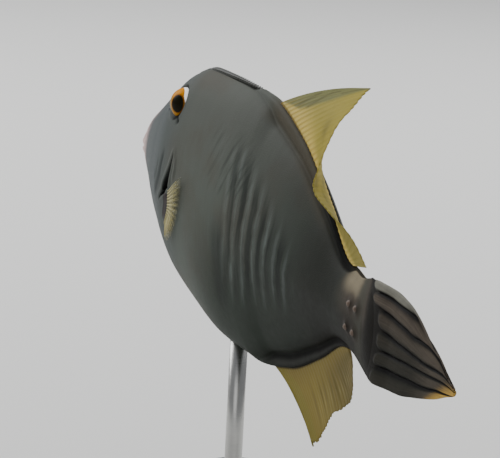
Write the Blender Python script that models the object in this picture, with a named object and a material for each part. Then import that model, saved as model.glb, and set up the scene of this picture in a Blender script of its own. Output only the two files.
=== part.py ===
"""A barred filefish at life size, held in its swimming pose by a small display stand.

The fish lies along X with its snout at -X. Its left side faces -Y and up is +Z.
A place on the fish is given by its station, which is its share of the standard
length counted from the snout, by its distance to the fish's left, and by its
height over the body's axis. The origin is the middle of the stand's underside.
"""

import math

import bmesh
import bpy
import numpy as np
from mathutils import Vector

# Overall sizes, metres
STANDARD_LENGTH = 0.245
AXIS_HEIGHT = 0.150
GAP = 0.0003
SMALLEST_THICKNESS = 0.0005

# The tail swings to the fish's left and the head a little to its right
BEND_CENTRE = 0.5
TAIL_BEND = 0.265
HEAD_BEND = -0.068

# Outline of the body: station, share of the standard length
BACK_LINE = (
    (0.0, 0.005), (0.03, 0.036), (0.10, 0.078), (0.20, 0.136), (0.28, 0.180), (0.34, 0.197),
    (0.45, 0.201), (0.55, 0.198), (0.68, 0.162), (0.80, 0.100), (0.90, 0.055), (0.95, 0.055), (1.0, 0.069),
)
BELLY_LINE = (
    (0.0, -0.027), (0.03, -0.055), (0.10, -0.092), (0.20, -0.149), (0.28, -0.190), (0.34, -0.206),
    (0.45, -0.224), (0.55, -0.219), (0.68, -0.183), (0.80, -0.120), (0.90, -0.063), (0.95, -0.054), (1.0, -0.058),
)
HALF_WIDTH = (
    (0.0, 0.011), (0.03, 0.018), (0.10, 0.035), (0.20, 0.060), (0.28, 0.073), (0.34, 0.072),
    (0.45, 0.071), (0.55, 0.067), (0.68, 0.055), (0.80, 0.040), (0.90, 0.026), (0.95, 0.019), (1.0, 0.010),
)
FLANK_POWER = ((0.0, 1.10), (0.5, 1.14), (0.66, 1.52), (0.84, 1.70), (1.0, 1.25))

# The raised sheath along the base of each long fin: station, share of the standard length
BACK_SHEATH = ((0.0, 0.002), (0.5, 0.003), (0.56, 0.010), (0.60, 0.022), (0.7, 0.018), (0.85, 0.009),
               (0.92, 0.004), (1.0, 0.002))
BELLY_SHEATH = ((0.0, 0.002), (0.55, 0.003), (0.60, 0.010), (0.64, 0.020), (0.75, 0.017), (0.88, 0.009),
                (0.93, 0.004), (1.0, 0.002))
SHEATH_HALF_WIDTH = ((0.0, 0.004), (0.5, 0.006), (0.60, 0.010), (0.75, 0.008), (0.9, 0.006), (1.0, 0.004))
SHEATH_SECTION = ((1.0, 0.35), (0.8, 0.75), (0.42, 0.95))
SHEATH_FOOT = 1.15
SHEATH_SHARE_OF_WIDTH = 0.45
FLANK_POINTS = 15

# The snout is rounded off, with the lips swelling in front of a shallow crease
SNOUT_STATIONS = (0.0, 0.002, 0.006, 0.011, 0.017, 0.023, 0.031)
LIP_SWELL = ((0.0, 0.62), (0.002, 0.88), (0.006, 1.07), (0.011, 1.10), (0.017, 1.0), (0.023, 0.93), (0.031, 1.0))
BODY_STATIONS = 33
PEDUNCLE_STATIONS = 5
PEDUNCLE_START = 0.925

# Mouth and teeth
MOUTH_HEIGHT = -0.011
MOUTH_STATION = -0.002
MOUTH_RADII = (0.0046, 0.0070, 0.0012)
TEETH = 6
TOOTH_WIDTH = 0.00085
TOOTH_HEIGHT = 0.0021
TOOTH_DEPTH = 0.0009
TOOTH_ARC = 0.0023
TOOTH_ARC_STATION = 0.0115
TOOTH_EDGE = 0.00015
TOOTH_PITCH = 1.12
TOOTH_PROFILE = ((0.0, 1.0, 1.0), (0.6, 1.0, 0.8), (1.0, 0.75, 0.3))

# Eyes and nostrils
EYE_STATION = 0.290
EYE_HEIGHT = 0.134
EYE_RADIUS = 0.0064
EYE_SUNK = 0.0031
NOSTRILS = ((0.262, 0.122), (0.250, 0.111))
NOSTRIL_RADIUS = 0.0007

# Gill slit, which also is the line where the head ends
SLIT_TOP = (0.328, 0.053)
SLIT_BOTTOM = (0.285, -0.028)
SLIT_HALF_WIDTH = 0.0021
SLIT_DEPTH = 0.0045
SLIT_WIDEST = 0.64
SLIT_STEPS = 8
SLIT_END = (0.0002, 0.001)

# First dorsal spine, folded down in its groove
SPINE_START = 0.305
SPINE_END = 0.515
SPINE_RADIUS = ((0.0, 0.0010), (0.07, 0.0017), (0.5, 0.0012), (1.0, 0.0005))
SPINE_SUNK = ((0.0, 0.0026), (0.07, 0.0013), (0.5, 0.0009), (1.0, 0.0003))
SPINE_STEPS = 12
SPINE_SPACING = 1.3
GROOVE_CLEARANCE = 0.0005

# Soft dorsal fin: share of its base, then length, sweep to the tail and lean to the right
DORSAL_RAYS = 37
DORSAL_BASE = (0.582, 0.912)
DORSAL_LENGTH = ((0.0, 0.146), (0.12, 0.139), (0.25, 0.122), (0.38, 0.113), (0.5, 0.110), (0.62, 0.088),
                 (0.75, 0.078), (0.88, 0.067), (1.0, 0.040))
DORSAL_SWEEP = ((0.0, 47), (0.12, 47), (0.25, 55), (0.38, 64), (0.5, 60), (0.62, 50), (0.75, 49), (0.88, 54),
                (1.0, 66))
DORSAL_LEAN = ((0.0, 65), (0.12, 50), (0.25, 28), (0.38, -17), (0.5, -47), (0.62, -55), (0.75, -42),
               (0.88, -18), (1.0, -3))
DORSAL_LEAN_CURL = 0.30

# Anal fin, in the same way
ANAL_RAYS = 32
ANAL_BASE = (0.618, 0.912)
ANAL_LENGTH = ((0.0, 0.150), (0.12, 0.128), (0.25, 0.116), (0.38, 0.103), (0.5, 0.090), (0.62, 0.081),
               (0.75, 0.080), (0.88, 0.066), (1.0, 0.028))
ANAL_SWEEP = ((0.0, 54), (0.12, 42), (0.38, 37), (0.62, 40), (1.0, 51))
ANAL_LEAN = ((0.0, 12), (0.25, 10), (0.62, 7), (0.75, 12), (1.0, 2))
ANAL_SWEEP_CURL = 0.55

# Pectoral fins: from the upper ray to the lower one
PECTORAL_RAYS = 14
PECTORAL_TOP = (0.326, -0.011)
PECTORAL_BOTTOM = (0.305, -0.066)
PECTORAL_LENGTH = ((0.0, 0.078), (0.15, 0.088), (0.5, 0.082), (1.0, 0.040))
PECTORAL_RISE = ((0.0, 29), (0.2, 26), (0.5, 17), (1.0, -24))
PECTORAL_SPREAD = (18, 2.5)

# Ray and membrane thickness at the root and at the margin
RAY_ROOT = 0.0013
RAY_TIP = 0.0007
MEMBRANE_ROOT = 0.0009
MEMBRANE_TIP = SMALLEST_THICKNESS
ROOT_SUNK = 0.0012
RAY_STEPS = 6

# Tail fin, closed to a leaf of folded rays
CAUDAL_RAYS = 12
CAUDAL_LENGTH = 0.206
CAUDAL_HALF_HEIGHT = ((0.0, 0.063), (0.13, 0.067), (0.3, 0.065), (0.47, 0.060), (0.6, 0.051), (0.75, 0.038),
                      (0.9, 0.025), (1.0, 0.012))
CAUDAL_MIDDLE = ((0.0, 0.0055), (0.3, 0.0085), (0.47, 0.008), (0.6, 0.0065), (0.75, 0.003), (0.9, 0.001),
                 (1.0, -0.001))
CAUDAL_CROWDING = 0.085
CAUDAL_FOLD = ((0.0, 0.0004), (0.2, 0.0016), (0.7, 0.0013), (1.0, 0.0004))
CAUDAL_THICKNESS = ((0.0, 0.0034), (0.3, 0.0026), (0.8, 0.0016), (1.0, 0.0010))
CAUDAL_STRAIGHT_FROM = 0.3
CAUDAL_ROUNDING = 0.10
CAUDAL_STEPS = 10

# Spines of the tail's stalk, on each side
THORNS = ((0.957, 0.020), (0.979, 0.021), (0.954, -0.012), (0.976, -0.012))
THORN_HEIGHT = 0.0021
THORN_RADIUS = 0.0012
THORN_SUNK = 0.001
THORN_HOOK = 0.55
THORN_SHAPE = ((0.0, 1.25), (0.3, 1.0), (0.62, 0.65), (0.86, 0.36), (1.0, 0.12))

# Pelvic rudiment
PELVIC_STATION = 0.385
PELVIC_SIZE = (0.0046, 0.0019, 0.0022)
BARB_ANGLES = (-55, 0, 55)
BARB_SPLAY = 0.4
BARB_DROP = 0.25
BARB_ROOT = (0.001, 0.0007)
BARB_REACH = ((0.0, 0.0011), (0.003, 0.0008), (0.005, 0.0003))

# Stand
BASE_LENGTH = 0.146
BASE_WIDTH = 0.092
BASE_THICKNESS = 0.010
BASE_CORNER = 0.020
BASE_BEVEL = 0.0015
ROD_STATION = 0.47
ROD_RADIUS = 0.0035
COLLAR_RADIUS = 0.009
COLLAR_HEIGHT = 0.005
SIDES = 20

MATERIALS = {
    "skin": ((0.11, 0.12, 0.12), 0.55, 0.0),
    "stalk": ((0.13, 0.12, 0.11), 0.55, 0.0),
    "fin": ((0.52, 0.44, 0.20), 0.50, 0.0),
    "tail": ((0.07, 0.06, 0.055), 0.50, 0.0),
    "eye": ((0.75, 0.42, 0.06), 0.15, 0.0),
    "spine": ((0.30, 0.26, 0.22), 0.50, 0.0),
    "lacquer": ((0.03, 0.03, 0.03), 0.35, 0.0),
    "steel": ((0.62, 0.62, 0.60), 0.25, 1.0),
}


def clear_scene():
    """Remove every object of the scene."""
    for item in list(bpy.data.objects):
        bpy.data.objects.remove(item, do_unlink=True)


def along(table, x):
    """Value at x of the smooth curve through a table's points, with no overshoot between them."""
    xs = [point[0] for point in table]
    values = [point[1] for point in table]
    x = min(max(x, xs[0]), xs[-1])
    steps = [b - a for a, b in zip(xs, xs[1:])]
    slopes = [(b - a) / step for a, b, step in zip(values, values[1:], steps)]
    tangents = [slopes[0]]
    for i in range(1, len(slopes)):
        before, after = slopes[i - 1], slopes[i]
        if before * after <= 0:
            tangents.append(0.0)
            continue
        weight_before = 2 * steps[i] + steps[i - 1]
        weight_after = steps[i] + 2 * steps[i - 1]
        tangents.append((weight_before + weight_after) / (weight_before / before + weight_after / after))
    tangents.append(slopes[-1])
    i = 0
    while i < len(steps) - 1 and x > xs[i + 1]:
        i += 1
    t = (x - xs[i]) / steps[i]
    return (
        values[i] * (1 + 2 * t) * (1 - t) ** 2
        + tangents[i] * steps[i] * t * (1 - t) ** 2
        + values[i + 1] * t * t * (3 - 2 * t)
        + tangents[i + 1] * steps[i] * t * t * (t - 1)
    )


def midline_slope(station):
    """How far the midline turns to the left for each unit of station."""
    if station > BEND_CENTRE:
        return 2 * TAIL_BEND * (station - BEND_CENTRE)
    return -2 * HEAD_BEND * (BEND_CENTRE - station)


def directions(station):
    """Unit vectors to the tail and to the fish's left at a station."""
    slope = midline_slope(station)
    run = math.hypot(1.0, slope)
    return Vector((1.0, -slope, 0.0)) / run, Vector((-slope, -1.0, 0.0)) / run


def place(station, side, height):
    """World point at a station, with its distance to the left and its height in metres."""
    bend = TAIL_BEND if station > BEND_CENTRE else HEAD_BEND
    middle = bend * (station - BEND_CENTRE) ** 2 * STANDARD_LENGTH
    axis = Vector(((station - ROD_STATION) * STANDARD_LENGTH, -middle, AXIS_HEIGHT + height))
    return axis + directions(station)[1] * side


def section(station, grow=0.0):
    """Sizes of the body's cross-section at a station, in metres."""
    length = STANDARD_LENGTH
    top = along(BACK_LINE, station) * length + grow
    bottom = along(BELLY_LINE, station) * length - grow
    width = along(HALF_WIDTH, station) * length + grow
    sheath = min(along(SHEATH_HALF_WIDTH, station) * length + grow, SHEATH_SHARE_OF_WIDTH * width)
    low = bottom + along(BELLY_SHEATH, station) * length
    high = top - along(BACK_SHEATH, station) * length
    return top, bottom, width, sheath, low, high


def ring(station, grow=0.0):
    """Closed outline of the body at a station: bottom, left side, top, right side."""
    top, bottom, width, sheath, low, high = section(station, grow)
    middle = (low + high) / 2
    half = (high - low) / 2
    end = math.acos(SHEATH_FOOT * sheath / width)
    power = along(FLANK_POWER, station)
    flank = []
    for i in range(FLANK_POINTS):
        angle = -end + 2 * end * i / (FLANK_POINTS - 1)
        rise = math.copysign(abs(math.sin(angle)) ** power, math.sin(angle))
        flank.append((width * math.cos(angle), middle + half * rise))
    upper = [(sheath * a, flank[-1][1] + b * (top - flank[-1][1])) for a, b in SHEATH_SECTION]
    lower = [(sheath * a, flank[0][1] + b * (bottom - flank[0][1])) for a, b in SHEATH_SECTION]
    left = lower[::-1] + flank + upper
    right = [(-side, height) for side, height in left[::-1]]
    points = [(0.0, bottom)] + left + [(0.0, top)] + right
    if station <= SNOUT_STATIONS[-1]:
        swell = along(LIP_SWELL, station)
        centre = (top + bottom) / 2
        points = [(side * swell, centre + (height - centre) * swell) for side, height in points]
    return points


def flank_side(station, height):
    """Distance from the midline to the flank's surface at a height in metres."""
    width, low, high = (section(station)[i] for i in (2, 4, 5))
    share = abs(height - (low + high) / 2) / ((high - low) / 2)
    sine = min(share, 1.0) ** (1 / along(FLANK_POWER, station))
    return width * math.sqrt(1 - sine * sine)


def flank_point(station, share_height, mirror=1, out=0.0):
    """World point on the flank, the left one unless mirrored, moved out by a distance."""
    height = share_height * STANDARD_LENGTH
    return place(station, mirror * (flank_side(station, height) + out), height)


def flank_normal(station, share_height, mirror=1):
    """Unit vector out of the flank's surface."""
    step = 0.004
    along_body = flank_point(station + step, share_height, mirror) - flank_point(station - step, share_height, mirror)
    upward = flank_point(station, share_height + step, mirror) - flank_point(station, share_height - step, mirror)
    normal = along_body.cross(upward).normalized()
    outward = directions(station)[1] * mirror
    return normal if normal.dot(outward) > 0 else -normal


def make_object(name, points, faces):
    """A mesh object whose faces point out."""
    mesh = bpy.data.meshes.new(name)
    mesh.from_pydata([tuple(point) for point in points], [], faces)
    work = bmesh.new()
    work.from_mesh(mesh)
    bmesh.ops.recalc_face_normals(work, faces=work.faces)
    work.to_mesh(mesh)
    work.free()
    item = bpy.data.objects.new(name, mesh)
    bpy.context.collection.objects.link(item)
    return item


def loft(name, rings):
    """Closed object through rings of equal length, with both ends capped."""
    count = len(rings[0])
    points = [point for each in rings for point in each]
    faces = []
    for i in range(len(rings) - 1):
        for j in range(count):
            k = (j + 1) % count
            a, b = i * count, (i + 1) * count
            faces.append((a + j, a + k, b + k, b + j))
    faces.append(tuple(reversed(range(count))))
    last = (len(rings) - 1) * count
    faces.append(tuple(last + j for j in range(count)))
    return make_object(name, points, faces)


def frame_across(direction):
    """Two unit vectors square to a direction and to each other."""
    helper = Vector((0, 0, 1)) if abs(direction.z) < 0.9 else Vector((1, 0, 0))
    first = direction.cross(helper).normalized()
    return first, direction.cross(first).normalized()


def tube(name, centres, radii, sides):
    """Closed round object along points, with a radius at each."""
    rings = []
    for i, centre in enumerate(centres):
        before = centres[max(i - 1, 0)]
        after = centres[min(i + 1, len(centres) - 1)]
        first, second = frame_across((after - before).normalized())
        rings.append([
            centre + radii[i] * (math.cos(a) * first + math.sin(a) * second)
            for a in (2 * math.pi * k / sides for k in range(sides))
        ])
    return loft(name, rings)


def ellipsoid(name, centre, radii, segments=24, rings=12):
    """Closed ellipsoid with its poles on Z."""
    mesh = bpy.data.meshes.new(name)
    work = bmesh.new()
    bmesh.ops.create_uvsphere(work, u_segments=segments, v_segments=rings, radius=1.0)
    for vertex in work.verts:
        vertex.co = Vector([c * r for c, r in zip(vertex.co, radii)]) + centre
    work.to_mesh(mesh)
    work.free()
    item = bpy.data.objects.new(name, mesh)
    bpy.context.collection.objects.link(item)
    return item


def remove(*items):
    """Remove objects that were only tools."""
    for item in items:
        bpy.data.objects.remove(item, do_unlink=True)


def evaluated_mesh(item):
    """Apply an object's modifiers to its own mesh."""
    graph = bpy.context.evaluated_depsgraph_get()
    mesh = bpy.data.meshes.new_from_object(item.evaluated_get(graph))
    item.modifiers.clear()
    item.data = mesh


def combine(item, operation, others):
    """Boolean an object with one or more others, which are then removed."""
    group = bpy.data.collections.new("tools")
    bpy.context.scene.collection.children.link(group)
    for other in others:
        bpy.context.collection.objects.unlink(other)
        group.objects.link(other)
    modifier = item.modifiers.new(operation.lower(), "BOOLEAN")
    modifier.operation = operation
    modifier.solver = "EXACT"
    modifier.operand_type = "COLLECTION"
    modifier.collection = group
    evaluated_mesh(item)
    remove(*others)
    bpy.data.collections.remove(group)


def copy_of(item, name):
    """A separate copy of an object and its mesh."""
    twin = bpy.data.objects.new(name, item.data.copy())
    bpy.context.collection.objects.link(twin)
    return twin


def keep_largest(item):
    """Keep only the largest closed surface of an object."""
    work = bmesh.new()
    work.from_mesh(item.data)
    left = set(work.verts)
    groups = []
    while left:
        stack = [left.pop()]
        group = set(stack)
        while stack:
            for edge in stack.pop().link_edges:
                for vertex in edge.verts:
                    if vertex in left:
                        left.discard(vertex)
                        group.add(vertex)
                        stack.append(vertex)
        groups.append(group)
    groups.sort(key=len, reverse=True)
    loose = [vertex for group in groups[1:] for vertex in group]
    bmesh.ops.delete(work, geom=loose, context="VERTS")
    work.to_mesh(item.data)
    work.free()


def finish(item, material, sharp=40.0):
    """Give an object its material and smooth shading."""
    colour, roughness, metallic = MATERIALS[material]
    shader = bpy.data.materials.get(material)
    if shader is None:
        shader = bpy.data.materials.new(material)
        shader.use_nodes = True
        surface = shader.node_tree.nodes["Principled BSDF"]
        surface.inputs["Base Color"].default_value = (*colour, 1.0)
        surface.inputs["Roughness"].default_value = roughness
        surface.inputs["Metallic"].default_value = metallic
    item.data.materials.clear()
    item.data.materials.append(shader)
    item.data.shade_smooth()
    item.data.set_sharp_from_angle(angle=math.radians(sharp))


def body_solid(name, grow=0.0):
    """The whole body without fins, larger all round by a given distance."""
    first = SNOUT_STATIONS[-1]
    stations = list(SNOUT_STATIONS)
    trunk_step = (PEDUNCLE_START - first) / BODY_STATIONS
    stations += [first + trunk_step * (i + 1) for i in range(BODY_STATIONS)]
    tail_step = (1.0 - PEDUNCLE_START) / PEDUNCLE_STATIONS
    stations += [PEDUNCLE_START + tail_step * (i + 1) for i in range(PEDUNCLE_STATIONS)]
    rings = [[place(station, side, height) for side, height in ring(station, grow)] for station in stations]
    return loft(name, rings)


def slab(name, centre, normal, tilt_up, depth):
    """A large box whose front face passes through a point, reaching away along its normal."""
    size = STANDARD_LENGTH
    across = normal.cross(tilt_up).normalized()
    up = across.cross(normal).normalized()
    rings = []
    for distance in (0.0, depth):
        middle = centre + normal * distance
        rings.append([middle + across * size * a + up * size * b for a, b in ((-1, -1), (1, -1), (1, 1), (-1, 1))])
    return loft(name, rings)


def eye_centre(mirror):
    """Centre of the eyeball on one side."""
    surface = flank_point(EYE_STATION, EYE_HEIGHT, mirror)
    return surface - flank_normal(EYE_STATION, EYE_HEIGHT, mirror) * EYE_SUNK


def gill_cutter(mirror):
    """Lens-shaped cutter of one gill slit."""
    rings = []
    for i in range(SLIT_STEPS + 1):
        share = i / SLIT_STEPS
        station = SLIT_TOP[0] + (SLIT_BOTTOM[0] - SLIT_TOP[0]) * share
        height = SLIT_TOP[1] + (SLIT_BOTTOM[1] - SLIT_TOP[1]) * share
        spread = math.sin(math.pi * share ** math.log(0.5, SLIT_WIDEST)) if share < 1 else 0.0
        half = SLIT_END[0] + SLIT_HALF_WIDTH * spread
        depth = SLIT_END[1] + SLIT_DEPTH * spread
        centre = flank_point(station, height, mirror, SLIT_END[1])
        back, left = directions(station)
        inward = left * -mirror
        rings.append([centre - back * half, centre + back * half,
                      centre + back * half * 0.5 + inward * depth, centre - back * half * 0.5 + inward * depth])
    return loft("gill_cutter", rings)


def spine_line():
    """Centres and radii of the folded first dorsal spine."""
    centres, radii = [], []
    for i in range(SPINE_STEPS + 1):
        share = (i / SPINE_STEPS) ** SPINE_SPACING
        station = SPINE_START + (SPINE_END - SPINE_START) * share
        centres.append(place(station, 0.0, section(station)[0] - along(SPINE_SUNK, share)))
        radii.append(along(SPINE_RADIUS, share))
    return centres, radii


def make_tooth(angle, jaw):
    """One incisor, jaw 1 for the upper row and -1 for the lower one."""
    back, left = directions(0.0)
    middle = place(TOOTH_ARC_STATION, 0.0, MOUTH_HEIGHT * STANDARD_LENGTH)
    outward = -back * math.cos(angle) + left * math.sin(angle)
    across = Vector((0, 0, 1)).cross(outward).normalized()
    root = middle + outward * TOOTH_ARC + Vector((0, 0, jaw * (TOOTH_HEIGHT + TOOTH_EDGE)))
    rings = []
    for share, width, depth in TOOTH_PROFILE:
        centre = root - Vector((0, 0, jaw * TOOTH_HEIGHT * share))
        half_width = across * TOOTH_WIDTH / 2 * width
        half_depth = outward * TOOTH_DEPTH / 2 * depth
        rings.append([centre - half_width - half_depth, centre + half_width - half_depth,
                      centre + half_width + half_depth, centre - half_width + half_depth])
    return loft("tooth", rings)


def build_head(body):
    """The head: all in front of the gill slits, with its mouth, teeth, nostrils and eye sockets."""
    mouth = ellipsoid("mouth", place(MOUTH_STATION, 0.0, MOUTH_HEIGHT * STANDARD_LENGTH), MOUTH_RADII)
    cutters = [mouth]
    for mirror in (1, -1):
        size = EYE_RADIUS + GAP
        cutters.append(ellipsoid("socket", eye_centre(mirror), (size, size, size)))
        for station, height in NOSTRILS:
            size = NOSTRIL_RADIUS
            cutters.append(ellipsoid("nostril", flank_point(station, height, mirror), (size, size, size), 8, 6))
    combine(body, "DIFFERENCE", cutters)


def build_teeth(head):
    """Fuse both rows of incisors into the head."""
    teeth = []
    for jaw in (1, -1):
        for i in range(TEETH):
            angle = (i - (TEETH - 1) / 2) * TOOTH_WIDTH * TOOTH_PITCH / TOOTH_ARC
            teeth.append(make_tooth(angle, jaw))
    combine(head, "UNION", teeth)


def build_body():
    """Head, trunk and tail stalk, parted by thin cuts."""
    body = body_solid("trunk")
    build_head(body)
    cutters = [gill_cutter(1), gill_cutter(-1)]
    centres, radii = spine_line()
    cutters.append(tube("groove", centres, [radius + GROOVE_CLEARANCE for radius in radii], 10))
    combine(body, "DIFFERENCE", cutters)
    slit_up = place(SLIT_TOP[0], 0.0, SLIT_TOP[1] * STANDARD_LENGTH) - place(
        SLIT_BOTTOM[0], 0.0, SLIT_BOTTOM[1] * STANDARD_LENGTH)
    slit_middle = place((SLIT_TOP[0] + SLIT_BOTTOM[0]) / 2, 0.0, (SLIT_TOP[1] + SLIT_BOTTOM[1]) / 2 * STANDARD_LENGTH)
    back, left = directions(0.3)
    cut_normal = slit_up.cross(left).normalized()
    if cut_normal.dot(back) < 0:
        cut_normal = -cut_normal
    stalk_middle = place(PEDUNCLE_START, 0.0, 0.0)
    stalk_back = directions(PEDUNCLE_START)[0]
    depth = 2 * STANDARD_LENGTH
    half_gap = GAP / 2
    head = copy_of(body, "head")
    combine(head, "DIFFERENCE", [slab("rear", slit_middle - cut_normal * half_gap, cut_normal, slit_up, depth)])
    build_teeth(head)
    stalk = copy_of(body, "caudal_peduncle")
    upright = Vector((0, 0, 1))
    combine(stalk, "DIFFERENCE", [slab("front", stalk_middle + stalk_back * half_gap, -stalk_back, upright, depth)])
    combine(body, "DIFFERENCE", [
        slab("front", slit_middle + cut_normal * half_gap, -cut_normal, slit_up, depth),
        slab("rear", stalk_middle - stalk_back * half_gap, stalk_back, upright, depth),
    ])
    thorns = [make_thorn(station, height, mirror) for station, height in THORNS for mirror in (1, -1)]
    combine(stalk, "UNION", thorns)
    for item, material in ((head, "skin"), (body, "skin"), (stalk, "stalk")):
        keep_largest(item)
        finish(item, material)
    return head, body, stalk


def make_thorn(station, height, mirror):
    """One hooked spine of the tail's stalk, which curves forward to the head."""
    normal = flank_normal(station, height, mirror)
    back = directions(station)[0]
    root = flank_point(station, height, mirror) - normal * THORN_SUNK
    centres, radii = [], []
    for share, radius in THORN_SHAPE:
        reach = (THORN_HEIGHT + THORN_SUNK) * share
        centres.append(root + normal * reach - back * THORN_HEIGHT * THORN_HOOK * share ** 2)
        radii.append(THORN_RADIUS * radius)
    return tube("thorn", centres, radii, 8)


def build_eyes():
    """Both eyeballs, each in its socket."""
    for name, mirror in (("eye_left", 1), ("eye_right", -1)):
        size = EYE_RADIUS
        finish(ellipsoid(name, eye_centre(mirror), (size, size, size)), "eye")


def build_spine():
    """The first dorsal spine."""
    centres, radii = spine_line()
    finish(tube("dorsal_spine", centres, radii, 10), "spine")


def sheet(name, columns, thickness, offset_directions):
    """Closed thin sheet: columns of points, each with a thickness and a direction to lay it on."""
    across, down = len(columns), len(columns[0])
    points = []
    for side in (0.5, -0.5):
        for i in range(across):
            for j in range(down):
                points.append(columns[i][j] + offset_directions[i][j] * thickness[i][j] * side)
    back = across * down
    faces = []
    for i in range(across - 1):
        for j in range(down - 1):
            a, b = i * down + j, (i + 1) * down + j
            for triangle in ((a, b, b + 1), (a, b + 1, a + 1)):
                faces.append(triangle)
                faces.append(tuple(back + k for k in reversed(triangle)))
    edge = [i * down for i in range(across)]
    edge += [(across - 1) * down + j for j in range(1, down)]
    edge += [i * down + down - 1 for i in reversed(range(across - 1))]
    edge += [j for j in reversed(range(1, down - 1))]
    for a, b in zip(edge, edge[1:] + edge[:1]):
        faces.append((a, b, back + b))
        faces.append((a, back + b, back + a))
    return make_object(name, points, faces)


def sheet_normals(columns):
    """Unit vectors square to the sheet at each of its points."""
    grid = np.array([[tuple(point) for point in column] for column in columns])
    across = np.gradient(grid, axis=0)
    down = np.gradient(grid, axis=1)
    normals = np.cross(across, down)
    normals /= np.linalg.norm(normals, axis=2)[:, :, None]
    return [[Vector(normal) for normal in row] for row in normals]


def fin(name, rays, ray_points, material, body):
    """A fin with its rays raised on both faces, cut to meet the body's surface."""
    columns, thickness = [], []
    count = 2 * rays - 1
    for i in range(count):
        column = ray_points(i / (count - 1))
        columns.append(column)
        root, tip = (RAY_ROOT, RAY_TIP) if i % 2 == 0 else (MEMBRANE_ROOT, MEMBRANE_TIP)
        last = len(column) - 1
        thickness.append([root + (tip - root) * j / last for j in range(last + 1)])
    item = sheet(name, columns, thickness, sheet_normals(columns))
    combine(item, "DIFFERENCE", [copy_of(body, "cutter")])
    keep_largest(item)
    finish(item, material)
    return item


def unpaired_ray(base, line, sign, tables, lean_curl, sweep_curl):
    """Function that gives the points of the ray at a share of an unpaired fin's base."""
    lengths, sweeps, leans = tables

    def points(share):
        station = base[0] + (base[1] - base[0]) * share
        upward = Vector((0, 0, sign))
        back, left = directions(station)
        root = place(station, 0.0, along(line, station) * STANDARD_LENGTH)
        step = along(lengths, share) * STANDARD_LENGTH / (RAY_STEPS - 1)
        column = [root - upward * ROOT_SUNK]
        here = root
        for j in range(RAY_STEPS - 1):
            turn = 2 * (j + 0.5) / (RAY_STEPS - 1) - 1
            lean = math.radians(along(leans, share) * (1 + lean_curl * turn))
            sweep = math.radians(along(sweeps, share) * (1 - sweep_curl * turn))
            out = math.sin(lean) * -left + math.cos(lean) * upward
            here = here + (math.sin(sweep) * back + math.cos(sweep) * out) * step
            column.append(here)
        return column

    return points


def pectoral_ray(mirror):
    """Function that gives the points of the ray at a share of a pectoral fin's base."""

    def points(share):
        station = PECTORAL_TOP[0] + (PECTORAL_BOTTOM[0] - PECTORAL_TOP[0]) * share
        height = PECTORAL_TOP[1] + (PECTORAL_BOTTOM[1] - PECTORAL_TOP[1]) * share
        back, left = directions(station)
        outward = left * mirror
        here = flank_point(station, height, mirror)
        rise = math.radians(along(PECTORAL_RISE, share))
        lie = back * math.cos(rise) + Vector((0, 0, 1)) * math.sin(rise)
        step = along(PECTORAL_LENGTH, share) * STANDARD_LENGTH / (RAY_STEPS - 1)
        column = [here - outward * ROOT_SUNK]
        for j in range(RAY_STEPS - 1):
            eased = (1 - (j + 0.5) / (RAY_STEPS - 1)) ** 2
            spread = math.radians(PECTORAL_SPREAD[1] + (PECTORAL_SPREAD[0] - PECTORAL_SPREAD[1]) * eased)
            here = here + (lie * math.cos(spread) + outward * math.sin(spread)) * step
            column.append(here)
        return column

    return points


def build_fins(grown_body):
    """Soft dorsal, anal and both pectoral fins."""
    dorsal = (DORSAL_LENGTH, DORSAL_SWEEP, DORSAL_LEAN)
    anal = (ANAL_LENGTH, ANAL_SWEEP, ANAL_LEAN)
    fin("soft_dorsal_fin", DORSAL_RAYS,
        unpaired_ray(DORSAL_BASE, BACK_LINE, 1, dorsal, DORSAL_LEAN_CURL, 0.0), "fin", grown_body)
    fin("anal_fin", ANAL_RAYS,
        unpaired_ray(ANAL_BASE, BELLY_LINE, -1, anal, 0.0, ANAL_SWEEP_CURL), "fin", grown_body)
    fin("pectoral_fin_left", PECTORAL_RAYS, pectoral_ray(1), "fin", grown_body)
    fin("pectoral_fin_right", PECTORAL_RAYS, pectoral_ray(-1), "fin", grown_body)


def build_tail_fin():
    """The closed tail fin, whose rays lie alternately to the left and right."""
    back, left = directions(1.0)
    start = place(1.0, 0.0, 0.0) + back * GAP
    columns, thickness = [], []
    for i in range(2 * CAUDAL_RAYS):
        ray = i // 2
        share = (i + 0.5) / (2 * CAUDAL_RAYS)
        spread = 1 - 2 * (share - CAUDAL_CROWDING * math.sin(2 * math.pi * share))
        side = 1 if ray % 2 == 0 else -1
        column, widths = [], []
        for j in range(CAUDAL_STEPS):
            reach = j / (CAUDAL_STEPS - 1)
            ease = min(reach / CAUDAL_STRAIGHT_FROM, 1.0)
            heading = (back * (1 - ease) + Vector((1, 0, 0)) * ease).normalized()
            distance = CAUDAL_LENGTH * STANDARD_LENGTH * reach * (1 - CAUDAL_ROUNDING * spread ** 2)
            height = along(CAUDAL_MIDDLE, reach) + spread * along(CAUDAL_HALF_HEIGHT, reach)
            fold = side * along(CAUDAL_FOLD, reach)
            column.append(start + heading * distance + left * fold + Vector((0, 0, height * STANDARD_LENGTH)))
            widths.append(along(CAUDAL_THICKNESS, reach))
        columns.append(column)
        thickness.append(widths)
    lateral = [[left] * CAUDAL_STEPS for column in columns]
    item = sheet("caudal_fin", columns, thickness, lateral)
    finish(item, "tail")


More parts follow.
